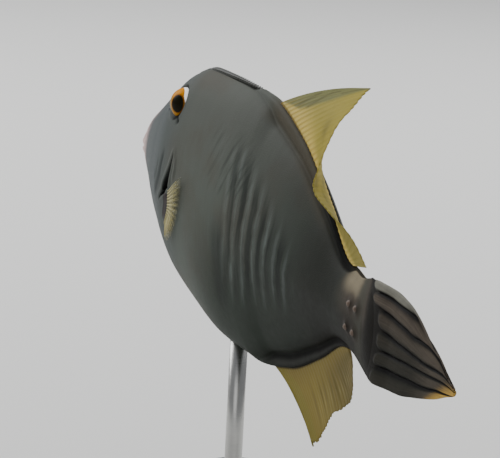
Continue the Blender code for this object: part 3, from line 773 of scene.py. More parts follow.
@dataclass(frozen=True)
class TailFinish:
    """Dark folded tail rays, with painted shade in the creases between them, painted highlights along the
    rib crests, a lighter top rib that is partly painted light from above, and a dull orange lower margin.
    """

    rib: Tint = tint(54, 48, 42)
    # Painted highlight along the rib crests and towards the tip.
    crest: Tint = tint(100, 91, 80)
    # Painted shade in the creases, also the dark side of the mottling.
    crease: Tint = tint(5, 4, 4)
    low: Tint = tint(38, 38, 32)
    # Lighter top rib: partly grey rib colour, partly painted light from above.
    upper: Tint = tint(128, 127, 116)
    root: Tint = tint(27, 25, 22)
    margin: Tint = tint(232, 186, 86)
    tip: Tint = tint(112, 66, 40)

    def build(self) -> bpy.types.Material:
        """Paint the tail fin.

        Returns:
            The material.
        """
        s = Shader("tail_fin")
        rib, reach, spread, number = (s.mark(name) for name in ("rib", "reach", "spread", "number"))
        root = s.mark("root")
        lines = s.noise(s.vector(spread * 40.0, reach * 2.4, 0.0), 1.0, 4, 0.65)
        grain = s.noise(s.place(), 520, 3)
        crest = rib.smooth(0.70, 1.0) * (lines * 0.9 + 0.1) * (number.smooth(4.0, 1.2) * 0.85 + 0.15)
        edge = (reach - spread * 0.13 - 0.105 + (lines - 0.5) * 0.12).smooth(0.76, 0.92)
        edge = edge * (lines * 0.9 + 0.3)
        colour = s.layers(
            self.rib, (number.smooth(1.0, 3.6), self.low), (crest, self.crest),
            (number.smooth(1.15, 0.9) * reach.smooth(0.75, 0.45) * 0.85, self.upper),
            (reach.smooth(0.55, 0.85) * rib.smooth(0.6, 0.95) * lines, self.crest),
            (edge * spread.smooth(0.55, 0.1) * 0.9, self.margin),
            (edge * spread.smooth(0.25, 0.6) * 0.7, self.tip),
            (rib.smooth(0.84, 0.50) * (1.0 - root), self.crease), (root, self.root))
        uneven = (lines - 0.5) * 0.7 + (grain - 0.5) * 0.35 + 0.5
        colour = s.mottled(colour, uneven, 0.35, self.crease)
        normal = s.relief(lines * 0.7 + grain * 0.3, 0.20 * MM, 0.8)
        surface = s.principled(colour, 0.55, normal, Specular_IOR_Level=0.08)
        return s.done(s.thin(surface, colour, 0.05))


@dataclass(frozen=True)
class EyeFinish:
    """Orange iris with a near-black pupil, a painted white highlight on its upper rear edge that glows a
    little, painted shade at the socket's edge, and a wet gloss.
    """

    pupil: Tint = tint(30, 28, 16)
    inner: Tint = tint(120, 62, 4)
    iris_high: Tint = tint(218, 142, 0)
    iris_low: Tint = tint(176, 122, 4)
    outer: Tint = tint(150, 130, 80)
    white: Tint = tint(255, 255, 255)
    unlit: Tint = tint(0, 0, 0)
    # Painted highlight: the white mark glows though it is no lamp.
    glow: float = 0.6
    # Painted shade where the eyeball meets the socket's edge.
    rim: Tint = tint(20, 20, 20)
    pupil_size: float = 0.50

    def build(self) -> bpy.types.Material:
        """Paint the eyeballs.

        Returns:
            The material.
        """
        s = Shader("eyeball")
        turn, spin, upper = s.mark("turn"), s.mark("spin"), s.mark("upper")
        crescent, lid = s.mark("crescent"), s.mark("lid")
        fibres = s.noise(s.vector(spin * 9.0, turn * 3.0, 0.0), 1.0, 3, 0.6)
        outer = s.mark("across").smooth(0.43, 0.54) * upper.smooth(0.62, 0.20)
        size = self.pupil_size
        colour = s.layers(
            self.iris_low, (upper.smooth(-0.45, 0.55), self.iris_high),
            (fibres.smooth(0.35, 0.8) * 0.30, self.inner),
            (turn.smooth(size + 0.13, size + 0.01) * 0.75, self.inner),
            (turn.smooth(size + 0.03, size - 0.03), self.pupil), (outer * 0.9, self.outer),
            (crescent, self.white), (lid, self.rim))
        glow = s.mix(crescent * (1.0 - lid), self.unlit, self.white)
        return s.done(s.principled(
            colour, 0.40, Specular_IOR_Level=0.02, Coat_Weight=0.15, Coat_Roughness=0.04, Coat_IOR=1.3,
            Emission_Color=glow, Emission_Strength=self.glow))


@dataclass(frozen=True)
class BoneFinish:
    """Rough bony spines, darker between their grains."""

    name: str = "bony_spine"
    light: Tint = tint(70, 72, 67)
    dark: Tint = tint(50, 52, 48)
    tip: Tint = tint(76, 77, 71)

    def build(self) -> bpy.types.Material:
        """Paint the spines.

        Returns:
            The material.
        """
        s = Shader(self.name)
        at = s.place()
        grain = s.noise(at, 700, 3, 0.6)
        blotch = s.noise(at, 160, 2)
        colour = s.mix(grain.smooth(0.3, 0.7) * 0.6 + blotch * 0.3, self.dark, self.light)
        colour = s.mix(s.mark("tip").smooth(0.3, 1.0) * 0.6, colour, self.tip)
        normal = s.relief(grain, 0.12 * MM, 0.9)
        return s.done(s.principled(colour, 0.52, normal, Specular_IOR_Level=0.4))


@dataclass(frozen=True)
class ToothFinish:
    """Ivory enamel, warmer at the root."""

    enamel: Tint = tint(232, 224, 204)
    root: Tint = tint(188, 166, 132)

    def build(self) -> bpy.types.Material:
        """Paint the teeth.

        Returns:
            The material.
        """
        s = Shader("enamel")
        grain = s.noise(s.place(), 900, 2)
        colour = s.mix(s.mark("tip").smooth(0.5, 0.0), self.enamel, self.root)
        colour = s.mix(grain * 0.2, colour, self.root)
        normal = s.relief(grain, 0.03 * MM, 0.5)
        return s.done(s.principled(colour, 0.22, normal, Coat_Weight=0.4, Coat_Roughness=0.1))


@dataclass(frozen=True)
class NostrilFinish:
    """Grey rim round a pit painted dark as shade."""

    rim: Tint = tint(104, 108, 112)
    # Painted shade inside the pit.
    pit: Tint = tint(16, 15, 15)

    def build(self) -> bpy.types.Material:
        """Paint the nostrils.

        Returns:
            The material.
        """
        s = Shader("nostril")
        grain = s.noise(s.place(), 900, 2)
        colour = s.mix(s.mark("tip"), s.mix(grain * 0.3, self.rim, self.pit), self.pit)
        return s.done(s.principled(colour, 0.55, s.relief(grain, 0.05 * MM, 0.6)))


@dataclass(frozen=True)
class LacquerFinish:
    """Black satin lacquer with the grain of the wood showing faintly."""

    dark: Tint = tint(24, 22, 21)
    light: Tint = tint(44, 38, 34)

    def build(self) -> bpy.types.Material:
        """Paint the stand's base.

        Returns:
            The material.
        """
        s = Shader("lacquered_wood")
        at = s.place()
        along = s.scaled(at, (9.0, 240.0, 240.0))
        grain = s.noise(along, 1.0, 5, 0.6)
        pores = s.noise(along, 6.0, 2, 0.5)
        dust = s.noise(at, 900, 2)
        colour = s.mix(grain.smooth(0.35, 0.7), self.dark, self.light)
        roughness = grain * 0.12 + dust * 0.10 + 0.22
        normal = s.relief(grain * 0.7 + pores * 0.3, 0.08 * MM, 0.5)
        return s.done(s.principled(colour, roughness, normal, Coat_Weight=0.35, Coat_Roughness=0.18))


@dataclass(frozen=True)
class SteelFinish:
    """Brushed steel rod with fine rings from turning."""

    light: Tint = tint(206, 206, 202)
    dark: Tint = tint(160, 160, 158)

    def build(self) -> bpy.types.Material:
        """Paint the stand's rod.

        Returns:
            The material.
        """
        s = Shader("brushed_steel")
        at = s.place()
        around = s.scaled(at, (60.0, 60.0, 5200.0))
        brush = s.noise(around, 1.0, 3, 0.6)
        cloud = s.noise(at, 60, 2)
        colour = s.mix(brush * 0.6 + cloud * 0.4, self.dark, self.light)
        roughness = brush * 0.18 + cloud * 0.10 + 0.16
        return s.done(s.principled(colour, roughness, s.relief(brush, 0.03 * MM, 0.5), Metallic=1.0))


@dataclass(frozen=True)
class FloorFinish:
    """Plain pale floor."""

    pale: Tint = tint(226, 226, 224)

    def build(self) -> bpy.types.Material:
        """Material of the floor."""
        s = Shader("pale_floor")
        return s.done(s.principled(self.pale, 0.85, Specular_IOR_Level=0.2))


# The fish's form


@dataclass(frozen=True)
class Body:
    """Sizes and lines of the body, as shares of its standard length unless they are in metres."""

    length: float = 0.245
    axis_height: float = 0.150
    rod_station: float = 0.47
    bend_centre: float = 0.5
    tail_bend: float = 0.265
    head_bend: float = -0.068
    sheath_foot: float = 1.15
    flank_round: float = 0.25
    tail_turn: float = 0.0165
    sheath_share: float = 0.45
    normal_step: float = 0.004
    back_line: Profile = Profile((
        (0.0, 0.005), (0.03, 0.036), (0.10, 0.078), (0.20, 0.136), (0.28, 0.180), (0.34, 0.197),
        (0.45, 0.201), (0.55, 0.198), (0.68, 0.162), (0.80, 0.100), (0.90, 0.055), (0.95, 0.055),
        (1.0, 0.069)))
    belly_line: Profile = Profile((
        (0.0, -0.027), (0.03, -0.055), (0.10, -0.092), (0.20, -0.149), (0.28, -0.190), (0.34, -0.206),
        (0.45, -0.224), (0.55, -0.219), (0.68, -0.183), (0.80, -0.120), (0.90, -0.063), (0.95, -0.054),
        (1.0, -0.058)))
    half_width: Profile = Profile((
        (0.0, 0.011), (0.03, 0.018), (0.10, 0.035), (0.20, 0.060), (0.28, 0.073), (0.34, 0.072),
        (0.45, 0.071), (0.55, 0.067), (0.68, 0.055), (0.80, 0.040), (0.90, 0.026), (0.95, 0.019),
        (1.0, 0.010)))
    flank_power: Profile = Profile(((0.0, 1.10), (0.5, 1.14), (0.66, 1.52), (0.84, 1.70), (1.0, 1.25)))
    back_sheath: Profile = Profile((
        (0.0, 0.002), (0.5, 0.003), (0.56, 0.010), (0.60, 0.022), (0.7, 0.018), (0.85, 0.009),
        (0.92, 0.004), (1.0, 0.002)))
    belly_sheath: Profile = Profile((
        (0.0, 0.002), (0.55, 0.003), (0.60, 0.010), (0.64, 0.020), (0.75, 0.017), (0.88, 0.009),
        (0.93, 0.004), (1.0, 0.002)))
    sheath_half_width: Profile = Profile((
        (0.0, 0.004), (0.5, 0.006), (0.60, 0.010), (0.75, 0.008), (0.9, 0.006), (1.0, 0.004)))

    def slope(self, station: Number) -> Array:
        """How far the midline turns to the left for each unit of station."""
        behind = np.asarray(station, float) - self.bend_centre
        return 2 * np.where(behind > 0, self.tail_bend, self.head_bend) * behind

    def directions(self, station: Number) -> tuple[Array, Array]:
        """Ways to the tail and to the fish's left.

        Args:
            station: Stations.

        Returns:
            Unit vectors to the tail, and to the fish's left.
        """
        slope = self.slope(station)
        run = np.hypot(1.0, slope)
        none = np.zeros_like(slope)
        return np.stack([1 / run, -slope / run, none], -1), np.stack([-slope / run, -1 / run, none], -1)

    def place(self, station: Number, side: Number, height: Number) -> Array:
        """World places.

        Args:
            station: Stations.
            side: Distances to the fish's left, in metres.
            height: Heights over the axis, in metres.

        Returns:
            The places, with their coordinates along the last axis.
        """
        station, side, height = np.broadcast_arrays(*(np.asarray(v, float) for v in (station, side, height)))
        bend = np.where(station > self.bend_centre, self.tail_bend, self.head_bend)
        middle = bend * (station - self.bend_centre) ** 2 * self.length
        axis = np.stack([(station - self.rod_station) * self.length, -middle, self.axis_height + height], -1)
        return axis + self.directions(station)[1] * side[..., None]

    def on_line(self, line: Profile, station: Number, over: Number = 0.0) -> Array:
        """Places on an outline of the body, moved up by a distance in metres."""
        return self.place(station, 0.0, line.at(station) * self.length + over)

    def flank_lines(self, station: Number) -> tuple[Array, Array, Array, Array]:
        """Sizes of the flank, which lies between the sheaths of the fins.

        Args:
            station: Stations.

        Returns:
            Its half width, middle height and half height, in metres, and its curve's power.
        """
        low = (self.belly_line.at(station) + self.belly_sheath.at(station)) * self.length
        high = (self.back_line.at(station) - self.back_sheath.at(station)) * self.length
        width = self.half_width.at(station) * self.length
        return width, (low + high) / 2, (high - low) / 2, self.flank_power.at(station)

    def flank_fall(self, level: Array, power: Array) -> Array:
        """How far a flank has curved in, as a sine.

        Args:
            level: Heights over the flank's middle, as shares of its half height.
            power: Powers of the flank's curve.

        Returns:
            Sines of the angles that the flank has turned through.
        """
        eased = (level * level + self.flank_round ** 2) / (1 + self.flank_round ** 2)
        return level * eased ** ((1 / power - 1) / 2)

    def flank_side(self, station: Number, height: Number) -> Array:
        """How far the flank stands from the midline.

        Args:
            station: Stations.
            height: Heights over the axis, in metres.

        Returns:
            The distances, in metres.
        """
        width, middle, half, power = self.flank_lines(station)
        sine = self.flank_fall(np.clip((np.asarray(height) - middle) / half, -1, 1), power)
        return width * np.sqrt(np.clip(1 - sine * sine, 0, 1))

    def flank_point(self, station: Number, share: Number, side: Side, out: Number = 0.0) -> Array:
        """World place on a flank, moved out by a distance in metres.

        Args:
            station: Stations.
            share: Heights, as shares of the standard length.
            side: Which flank.
            out: Distance outward.

        Returns:
            The places.
        """
        height = np.asarray(share, float) * self.length
        return self.place(station, side.value * (self.flank_side(station, height) + out), height)

    def flank_normal(self, station: float, share: float, side: Side) -> Array:
        """Way out of a flank.

        Args:
            station: The place's station.
            share: Its height, as a share of the standard length.
            side: Which flank.

        Returns:
            The unit vector.
        """
        steps = (self.normal_step, -self.normal_step)
        behind, before = (self.flank_point(station + step, share, side) for step in steps)
        above, below = (self.flank_point(station, share + step, side) for step in steps)
        normal = unit(np.cross(behind - before, above - below))
        return normal if normal @ self.directions(station)[1] * side.value > 0 else -normal

    def tail_axis(self, distance: Number, start_gap: float = 0.0003) -> tuple[Array, Array]:
        """Where the tail fin's middle runs.

        Args:
            distance: Distances behind the body's end, in metres.
            start_gap: Gap between the body and the fin.

        Returns:
            The places on its axis, and the fish's left there.
        """
        back, left = self.directions(1.0)
        ease = smooth(0.0, self.tail_turn, distance)[..., None]
        heading = unit(back * (1 - ease) + [1.0, 0.0, 0.0] * ease)
        start = self.place(1.0, 0.0, 0.0) + back * start_gap
        return start + heading * np.asarray(distance, float)[..., None], left


BODY = Body()


@dataclass(frozen=True)
class EyePlace:
    """Where an eyeball sits and how it looks."""

    station: float = 0.290
    height: float = 0.134
    radius: float = 0.0064
    sunk: float = 0.0031
    gaze: tuple[float, float, float] = (0.52, -0.82, 0.15)
    gaze_right: tuple[float, float, float] = (0.08, -0.98, 0.14)
    opening_shift: Spot = (0.0026, -0.0010)

    def surface(self, side: Side) -> Array:
        """Point of the flank over the eyeball's middle."""
        return BODY.flank_point(self.station, self.height, side)

    def opening(self, side: Side) -> Array:
        """Middle of the socket's opening, which lies a little behind and below the eyeball's."""
        behind, above = self.opening_shift
        return BODY.flank_point(self.station + behind, self.height + above, side)

    def outward(self, side: Side) -> Array:
        """Unit vector out of the socket."""
        return BODY.flank_normal(self.station, self.height, side)

    def centre(self, side: Side) -> Array:
        """Middle of the eyeball."""
        return self.surface(side) - self.outward(side) * self.sunk


EYE = EyePlace()


@dataclass(frozen=True)
class Skin:
    """One skin over head, trunk and tail stalk, with its mouth, sockets, slits and creases."""

    stations: int = 560
    samples: int = 2000
    flank_points: int = 176
    foot_steps: int = 8
    sheath_points: int = 12
    tip_rings: int = 16
    tip_start: float = 0.04
    tip_bulge: float = 0.0022
    tail_rings: int = 14
    tail_reach: float = 0.0072
    tail_taper: float = 0.60
    tail_taper_power: float = 1.4
    tail_end: float = 0.3
    tail_growth: float = 0.035
    crowded: tuple[tuple[float, float, float], ...] = (
        (0.0, 0.04, 1.6), (0.30, 0.04, 3.2), (0.965, 0.03, 1.2))
    lip_swell: Profile = Profile((
        (0.0, 0.62), (0.002, 0.88), (0.006, 1.03), (0.011, 1.06), (0.017, 1.0), (0.023, 0.95),
        (0.031, 1.0)))
    sheath_out: Profile = Profile(((0.0, 1.15), (0.25, 1.0), (0.5, 0.8), (0.75, 0.42), (1.0, 0.0)))
    sheath_up: Profile = Profile(((0.0, 0.0), (0.25, 0.35), (0.5, 0.75), (0.75, 0.95), (1.0, 1.0)))
    mouth_height: float = -0.011
    mouth_reach: float = 0.0043
    mouth_half: float = 0.0011
    mouth_end: float = 0.024
    slit: Path = (
        (0.329, 0.056), (0.322, 0.030), (0.311, 0.004), (0.298, -0.015), (0.280, -0.030))
    slit_half: Profile = Profile((
        (0.0, 0.1), (0.2, 0.6), (0.38, 1.2), (0.52, 1.75), (0.66, 1.5), (0.8, 0.65), (1.0, 0.1)))
    notch: Path = ((0.309, 0.002), (0.319, -0.003))
    slit_depth: float = 0.0028
    slit_edge: Spot = (1.15, 0.75)
    slit_shade: Spot = (1.35, 1.0)
    slit_full_half: float = 0.0012
    slit_rim: float = 0.00035
    slit_rim_away: float = 0.0011
    slit_rim_width: float = 0.0010
    notch_depth: float = 0.0012
    notch_edge: Spot = (0.0013, 0.0005)
    notch_taper: float = 0.0008
    sheath_groove: float = 0.00045
    sheath_groove_width: float = 0.0011
    sheath_reach: Ramp = (0.55, 0.60, 0.88, 0.93)
    keel_groove: float = 0.0007
    keel_groove_width: float = 0.0013
    keel_reach: Ramp = (0.58, 0.64, 0.90, 0.95)
    keel_shade: float = 0.75
    spine_groove: float = 0.0016
    spine_groove_edge: Spot = (0.0023, 0.0012)
    spine_groove_ends: Spot = (0.02, 0.03)
    spine_groove_shade: float = 0.25
    fold_height: float = 0.0004
    fold_width: float = 0.0010
    fold_ends: Ramp = (0.0, 0.3, 0.7, 1.0)
    base_half: float = 0.0019
    base_edge: Spot = (0.0024, 0.0013)
    base_ends: Ramp = (0.0, 0.1, 0.8, 1.0)
    base_line: float = 0.0005
    base_shade: float = 0.5
    socket_depth: float = 0.0022
    socket_edge_mm: Spot = (5.4, 4.0)
    shelf_depth: float = 0.0009
    shelf_edge_mm: Spot = (7.5, 5.9)
    socket_rim: float = 0.00022
    rim_radius_mm: float = 7.9
    socket_shade_mm: Ramp = (5.4, 5.8, 7.2, 7.9)
    socket_rear: Spot = (-0.012, 0.008)
    nub_height: float = 0.0009
    nub_width_mm: float = 1.6
    nub_shadow_mm: Spot = (4.6, 2.4)
    lip_height: float = 0.00025
    lip_width: float = 0.0009
    lip_middle: float = 0.0019
    lip_reach: Spot = (0.0080, 0.0035)
    lip_pale_edge: Spot = (0.0034, 0.0020)
    lip_pale_reach: Spot = (0.0090, 0.0035)
    mouth_edge: Spot = (1.2, 0.8)
    mouth_pull: float = 0.75
    creases: tuple[Path, ...] = (
        ((0.290, 0.060), (0.284, 0.040), (0.276, 0.010), (0.260, -0.016), (0.240, -0.040)),
        ((0.268, 0.040), (0.258, 0.010), (0.240, -0.012)),
        ((0.307, 0.117), (0.313, 0.109), (0.318, 0.102)))
    crease_depth: tuple[float, ...] = (0.00026, 0.00014, 0.0005)
    crease_width: tuple[float, ...] = (0.0015, 0.0012, 0.0008)
    crease_ends: Ramp = (0.0, 0.3, 0.8, 1.0)
    crease_swell: float = 0.8
    crease_swell_at: Spot = (0.68, 0.22)
    # A crease this deep is painted fully dark as shade; crease_dark caps that painted shade.
    crease_black: float = 0.0006
    crease_dark: float = 0.8
    fin_root: Path = ((0.311, -0.010), (0.306, -0.036), (0.291, -0.070))
    fold: Path = ((0.338, 0.060), (0.341, 0.035), (0.334, 0.008))
    # Width of the dorsal fin's painted shadow beside its base, as a share of the standard length.
    dorsal_base_shadow: Profile = Profile((
        (0.58, 0.0003), (0.72, 0.0005), (0.76, 0.003), (0.80, 0.0075), (0.87, 0.011), (0.91, 0.009),
        (0.93, 0.0005)))
    dorsal_base_shadow_edge: Spot = (1.25, 0.75)
    dorsal_base_shadow_start: Spot = (0.72, 0.79)
    bridge_at: float = 0.075
    bridge_wide: float = 0.05
    bridge_rise: float = 0.0007

    def station_values(self) -> Array:
        """Where the rings lie, closer together where there is fine form.

        Returns:
            Their stations, from the snout to the stalk's end.
        """
        even = np.linspace(0, 1, self.samples)
        crowd = 1 + sum(more * hump(even - at, width) for at, width, more in self.crowded)
        total = np.concatenate([[0.0], np.cumsum((crowd[1:] + crowd[:-1]) / 2)])
        return np.interp(np.linspace(0, 1, self.stations), total / total[-1], even)

    def ring(self, station: Array) -> tuple[Array, Array]:
        """Outlines of the body's sections.

        Args:
            station: Stations of the sections.

        Returns:
            Distances to the left and heights of their points, in metres, as stations by points.
        """
        top = BODY.back_line.at(station)[:, None] * BODY.length
        bottom = BODY.belly_line.at(station)[:, None] * BODY.length
        width, middle, half, power = (v[:, None] for v in BODY.flank_lines(station))
        sheath = BODY.sheath_half_width.at(station)[:, None] * BODY.length
        sheath = np.minimum(sheath, BODY.sheath_share * width)
        end = np.sqrt(1 - (BODY.sheath_foot * sheath / width) ** 2)
        foot = end ** power
        for _ in range(self.foot_steps):
            foot = foot * end / BODY.flank_fall(foot, power)
        turn = np.arcsin(end) * np.linspace(-1, 1, self.flank_points)[None]
        level = foot * np.sin(turn) / end
        side = width * np.sqrt(1 - BODY.flank_fall(level, power) ** 2)
        height = middle + half * level
        share = (np.arange(self.sheath_points) + 1) / (self.sheath_points + 1)
        out, up = self.sheath_out.at(share)[None], self.sheath_up.at(share)[None]
        upper_side = sheath * out
        upper = height[:, -1:] + up * (top - height[:, -1:])
        lower = height[:, :1] + up * (bottom - height[:, :1])
        half_side = np.concatenate([upper_side[:, ::-1], side, upper_side], 1)
        half_height = np.concatenate([lower[:, ::-1], height, upper], 1)
        none = np.zeros_like(top)
        sides = np.concatenate([none, half_side, none, -half_side[:, ::-1]], 1)
        heights = np.concatenate([bottom, half_height, top, half_height[:, ::-1]], 1)
        return sides, heights

    def base_grid(self) -> tuple[Array, Array, Array, Array]:
        """Undetailed surface.

        Returns:
            Places, stations, distances to the left and heights, as rings by points.
        """
        body = self.station_values()
        sides, heights = self.ring(body)
        centre = ((BODY.back_line.at(body) + BODY.belly_line.at(body)) / 2 * BODY.length)[:, None]
        swell = np.where(body <= self.lip_swell.points[-1][0], self.lip_swell.at(body), 1.0)[:, None]
        sides, heights = sides * swell, centre + (heights - centre) * swell
        open_out = np.linspace(self.tip_start, 1, self.tip_rings, endpoint=False)
        shrink = np.sin(open_out * np.pi / 2)[:, None]
        tip_side = sides[:1] * shrink
        tip_height = centre[:1] + (heights[:1] - centre[:1]) * shrink
        tip_station = -self.tip_bulge * np.sqrt(1 - shrink[:, 0] ** 2)
        stations = np.concatenate([tip_station, body])
        sides = np.concatenate([tip_side, sides])
        heights = np.concatenate([tip_height, heights])
        places = BODY.place(stations[:, None], sides, heights)
        share = (np.arange(self.tail_rings) + 1) / self.tail_rings
        axis, left = BODY.tail_axis(share * self.tail_reach)
        narrow = (1 - self.tail_taper * share ** self.tail_taper_power)[:, None]
        narrow[-1] = self.tail_end
        tail_side = sides[-1:] * narrow
        tail_height = heights[-1:] * (1 + self.tail_growth * share[:, None])
        tail = axis[:, None] + left * tail_side[..., None] + UP * tail_height[..., None]
        places = np.concatenate([places, tail])
        stations = np.concatenate([stations, 1 + share * self.tail_reach / BODY.length])
        return (places, np.broadcast_to(stations[:, None], places.shape[:2]),
                np.concatenate([sides, tail_side]), np.concatenate([heights, tail_height]))

    def build(self) -> None:
        """Skin with all its forms and marks."""
        form = Carving(self)
        form.press_flanks()
        form.press_ridges()
        form.open_mouth()
        surface = ring_stack(form.places, crease=form.crease, **form.marks)
        add_piece("fish_skin", surface, SkinFinish().build(), Slot.SKIN, "head", "trunk", "caudal_peduncle")


class Carving:
    """The skin's points while its forms are pressed into them."""

    def __init__(self, skin: Skin) -> None:
        """Start from the skin without its detail.

        Args:
            skin: Sizes of the skin.
        """
        self.skin = skin
        self.places, self.station, self.side, self.height = skin.base_grid()
        self.share = self.height / BODY.length
        along = np.gradient(self.places, axis=0)
        around = np.roll(self.places, -1, 1) - np.roll(self.places, 1, 1)
        normal = unit(np.cross(around, along))
        outward = BODY.directions(np.clip(self.station, 0, 1))[1] * np.sign(self.side)[..., None]
        self.normal = -normal if (normal * outward).sum() < 0 else normal
        self.push = np.zeros(self.station.shape)
        # Painted shade: how dark the skin is painted in slits, creases, grooves, the mouth and the sockets'
        # edges.
        self.crease = np.zeros(self.station.shape)
        self.flank = smooth(0.0, 3 * MM, np.abs(self.side))
        self.ridge = BODY.back_line.at(self.station) - self.share
        self.keel = self.share - BODY.belly_line.at(self.station)
        self.marks = {"station": self.station, "height": self.share, "ridge": self.ridge, "keel": self.keel}

    def paint_shade(self, amount: Array) -> None:
        """Paint shade: make the skin at least that dark."""
        self.crease = np.maximum(self.crease, amount)

    def path_distance(self, path: Path) -> tuple[Array, Array]:
        """How the points lie to a path on the flank.

        Args:
            path: Stations and heights of the path.

        Returns:
            Each point's share along the path, and its distance from it in metres.
        """
        best = np.full(self.station.shape, np.inf)
        along = np.zeros(self.station.shape)
        for i, (start, end) in enumerate(zip(path, path[1:])):
            part, away = segment_reach(self.station, self.share, start, end)
            nearer = away < best
            best = np.where(nearer, away, best)
            along = np.where(nearer, (i + part) / (len(path) - 1), along)
        return along, best * BODY.length

    def press_flanks(self) -> None:
        """Everything that lies on the flanks."""
        self.slits()
        self.cheeks()
        self.fin_bases()
        self.sockets()
        self.spine_bases()

    def slits(self) -> None:
        """Gill slits with a raised rim on both edges and a notch over the fin's base, both painted dark
        inside as shade.
        """
        skin = self.skin
        part, away = self.path_distance(skin.slit)
        half = skin.slit_half.at(part) * MM
        inside = smooth(*skin.slit_edge, away / half) * self.flank
        self.push -= inside * skin.slit_depth * np.clip(half / skin.slit_full_half, 0, 1)
        self.push += skin.slit_rim * hump(away - half - skin.slit_rim_away, skin.slit_rim_width) * self.flank
        # Painted shade inside the slit.
        self.paint_shade(smooth(*skin.slit_shade, away / half) * self.flank)
        part, away = self.path_distance(skin.notch)
        corner = smooth(*skin.notch_edge, away + part * skin.notch_taper) * self.flank
        self.push -= corner * skin.notch_depth
        # Painted shade in the notch.
        self.paint_shade(corner)

    def cheeks(self) -> None:
        """Creases of the cheeks, with painted shade in them, and the fold behind the gill slits."""
        skin = self.skin
        swell_at, swell_reach = skin.crease_swell_at
        for path, depth, wide in zip(skin.creases, skin.crease_depth, skin.crease_width):
            part, away = self.path_distance(path)
            wide = wide * (0.75 + skin.crease_swell * hump(part - swell_at, swell_reach))
            line = hump(away, wide) * between(*skin.crease_ends, part) * self.flank
            self.push -= line * depth
            # Painted shade along each crease, darker where it is deeper.
            self.paint_shade(line * min(depth / skin.crease_black, skin.crease_dark))
        part, away = self.path_distance(skin.fold)
        line = hump(away, skin.fold_width) * between(*skin.fold_ends, part) * self.flank
        self.push += line * skin.fold_height

    def fin_bases(self) -> None:
        """Fleshy bases of the pectoral fins, with a line of painted shade along their edge."""
        skin = self.skin
        part, away = self.path_distance(skin.fin_root)
        base = smooth(*skin.base_edge, away) * between(*skin.base_ends, part) * self.flank
        # Painted shade along the edge of the fin's base.
        self.paint_shade(hump(away - skin.base_half, skin.base_line) * base * skin.base_shade)
        self.marks["fin_root"] = base

    def sockets(self) -> None:
        """Eye sockets, with painted shade along their rear edge."""
        skin = self.skin
        for one in Side:
            gap = np.linalg.norm(self.places - EYE.opening(one), axis=-1) / MM
            self.push -= skin.socket_depth * smooth(*skin.socket_edge_mm, gap)
            self.push -= skin.shelf_depth * smooth(*skin.shelf_edge_mm, gap)
            self.push += skin.socket_rim * hump(gap - skin.rim_radius_mm, 1.0)
            behind = 0.2 + 0.7 * smooth(*skin.socket_rear, self.station - EYE.station)
            self.paint_shade(between(*skin.socket_shade_mm, gap) * behind)

    def spine_bases(self) -> None:
        """Swollen bases of the tail stalk's spines, with a ring of painted shadow round each."""
        nubs = np.zeros(self.station.shape)
        for one in Side:
            for at, level in StalkSpines.spots:
                gap = np.linalg.norm(self.places - BODY.flank_point(at, level, one), axis=-1) / MM
                self.push += self.skin.nub_height * hump(gap, self.skin.nub_width_mm)
                nubs = np.maximum(nubs, smooth(*self.skin.nub_shadow_mm, gap))
        self.marks["nubs"] = nubs

    def press_ridges(self) -> None:
        """Grooves with painted shade along the back and the belly, and the dorsal fin's painted shadow,
        after which the points move.
        """
        skin, station = self.skin, self.station
        above = (self.ridge - BODY.back_sheath.at(station)) * BODY.length
        below = (self.keel - BODY.belly_sheath.at(station)) * BODY.length
        above = hump(above, skin.sheath_groove_width) * between(*skin.sheath_reach, station)
        below = hump(below, skin.keel_groove_width) * between(*skin.keel_reach, station)
        self.push -= above * skin.sheath_groove + below * skin.keel_groove
        # Painted shade in the grooves beside the fins' sheaths.
        self.paint_shade(above * (0.12 + 0.5 * smooth(0.70, 0.80, station)))
        self.paint_shade(below * skin.keel_shade)
        # Painted shadow cast by the dorsal fin along its base.
        dorsal_shadow = smooth(*skin.dorsal_base_shadow_edge, self.ridge / skin.dorsal_base_shadow.at(station))
        self.paint_shade(dorsal_shadow * smooth(*skin.dorsal_base_shadow_start, station) * 0.9)
        start, end = FirstSpine.start, FirstSpine.end
        opening, closing = skin.spine_groove_ends
        groove = between(start, start + opening, end - closing, end, station) * (self.height > 0)
        groove = groove * smooth(*skin.spine_groove_edge, np.abs(self.side))
        # Painted shade in the first spine's groove.
        self.paint_shade(groove * skin.spine_groove_shade)
        self.places = self.places + self.normal * self.push[..., None]
        self.places[..., 2] -= groove * skin.spine_groove
        bridge = hump(station - skin.bridge_at, skin.bridge_wide) * smooth(0.05, 0.0, self.ridge)
        self.places[..., 2] += bridge * skin.bridge_rise

    def open_mouth(self) -> None:
        """Mouth, painted dark inside as shade, and lips."""
        skin = self.skin
        depth_in = np.maximum(self.station, 0) * BODY.length
        level = np.abs(self.share - skin.mouth_height) * BODY.length
        open_share = np.sqrt(np.clip(1 - (depth_in / skin.mouth_reach) ** 2, 0, 1))
        open_half = skin.mouth_half * open_share + 1e-6
        mouth = smooth(*skin.mouth_edge, level / open_half) * (depth_in < skin.mouth_reach)
        lip = hump(level - skin.lip_middle, skin.lip_width) * smooth(*skin.lip_reach, depth_in)
        self.places = self.places + self.normal * (lip * skin.lip_height)[..., None]
        throat = BODY.place(skin.mouth_end, 0.0, skin.mouth_height * BODY.length)
        self.places = self.places + (throat - self.places) * (mouth * skin.mouth_pull)[..., None]
        # Painted shade inside the mouth.
        self.paint_shade(mouth)
        lips = smooth(*skin.lip_pale_edge, level) * smooth(*skin.lip_pale_reach, depth_in)
        self.marks["lips"] = lips * (1 - mouth)


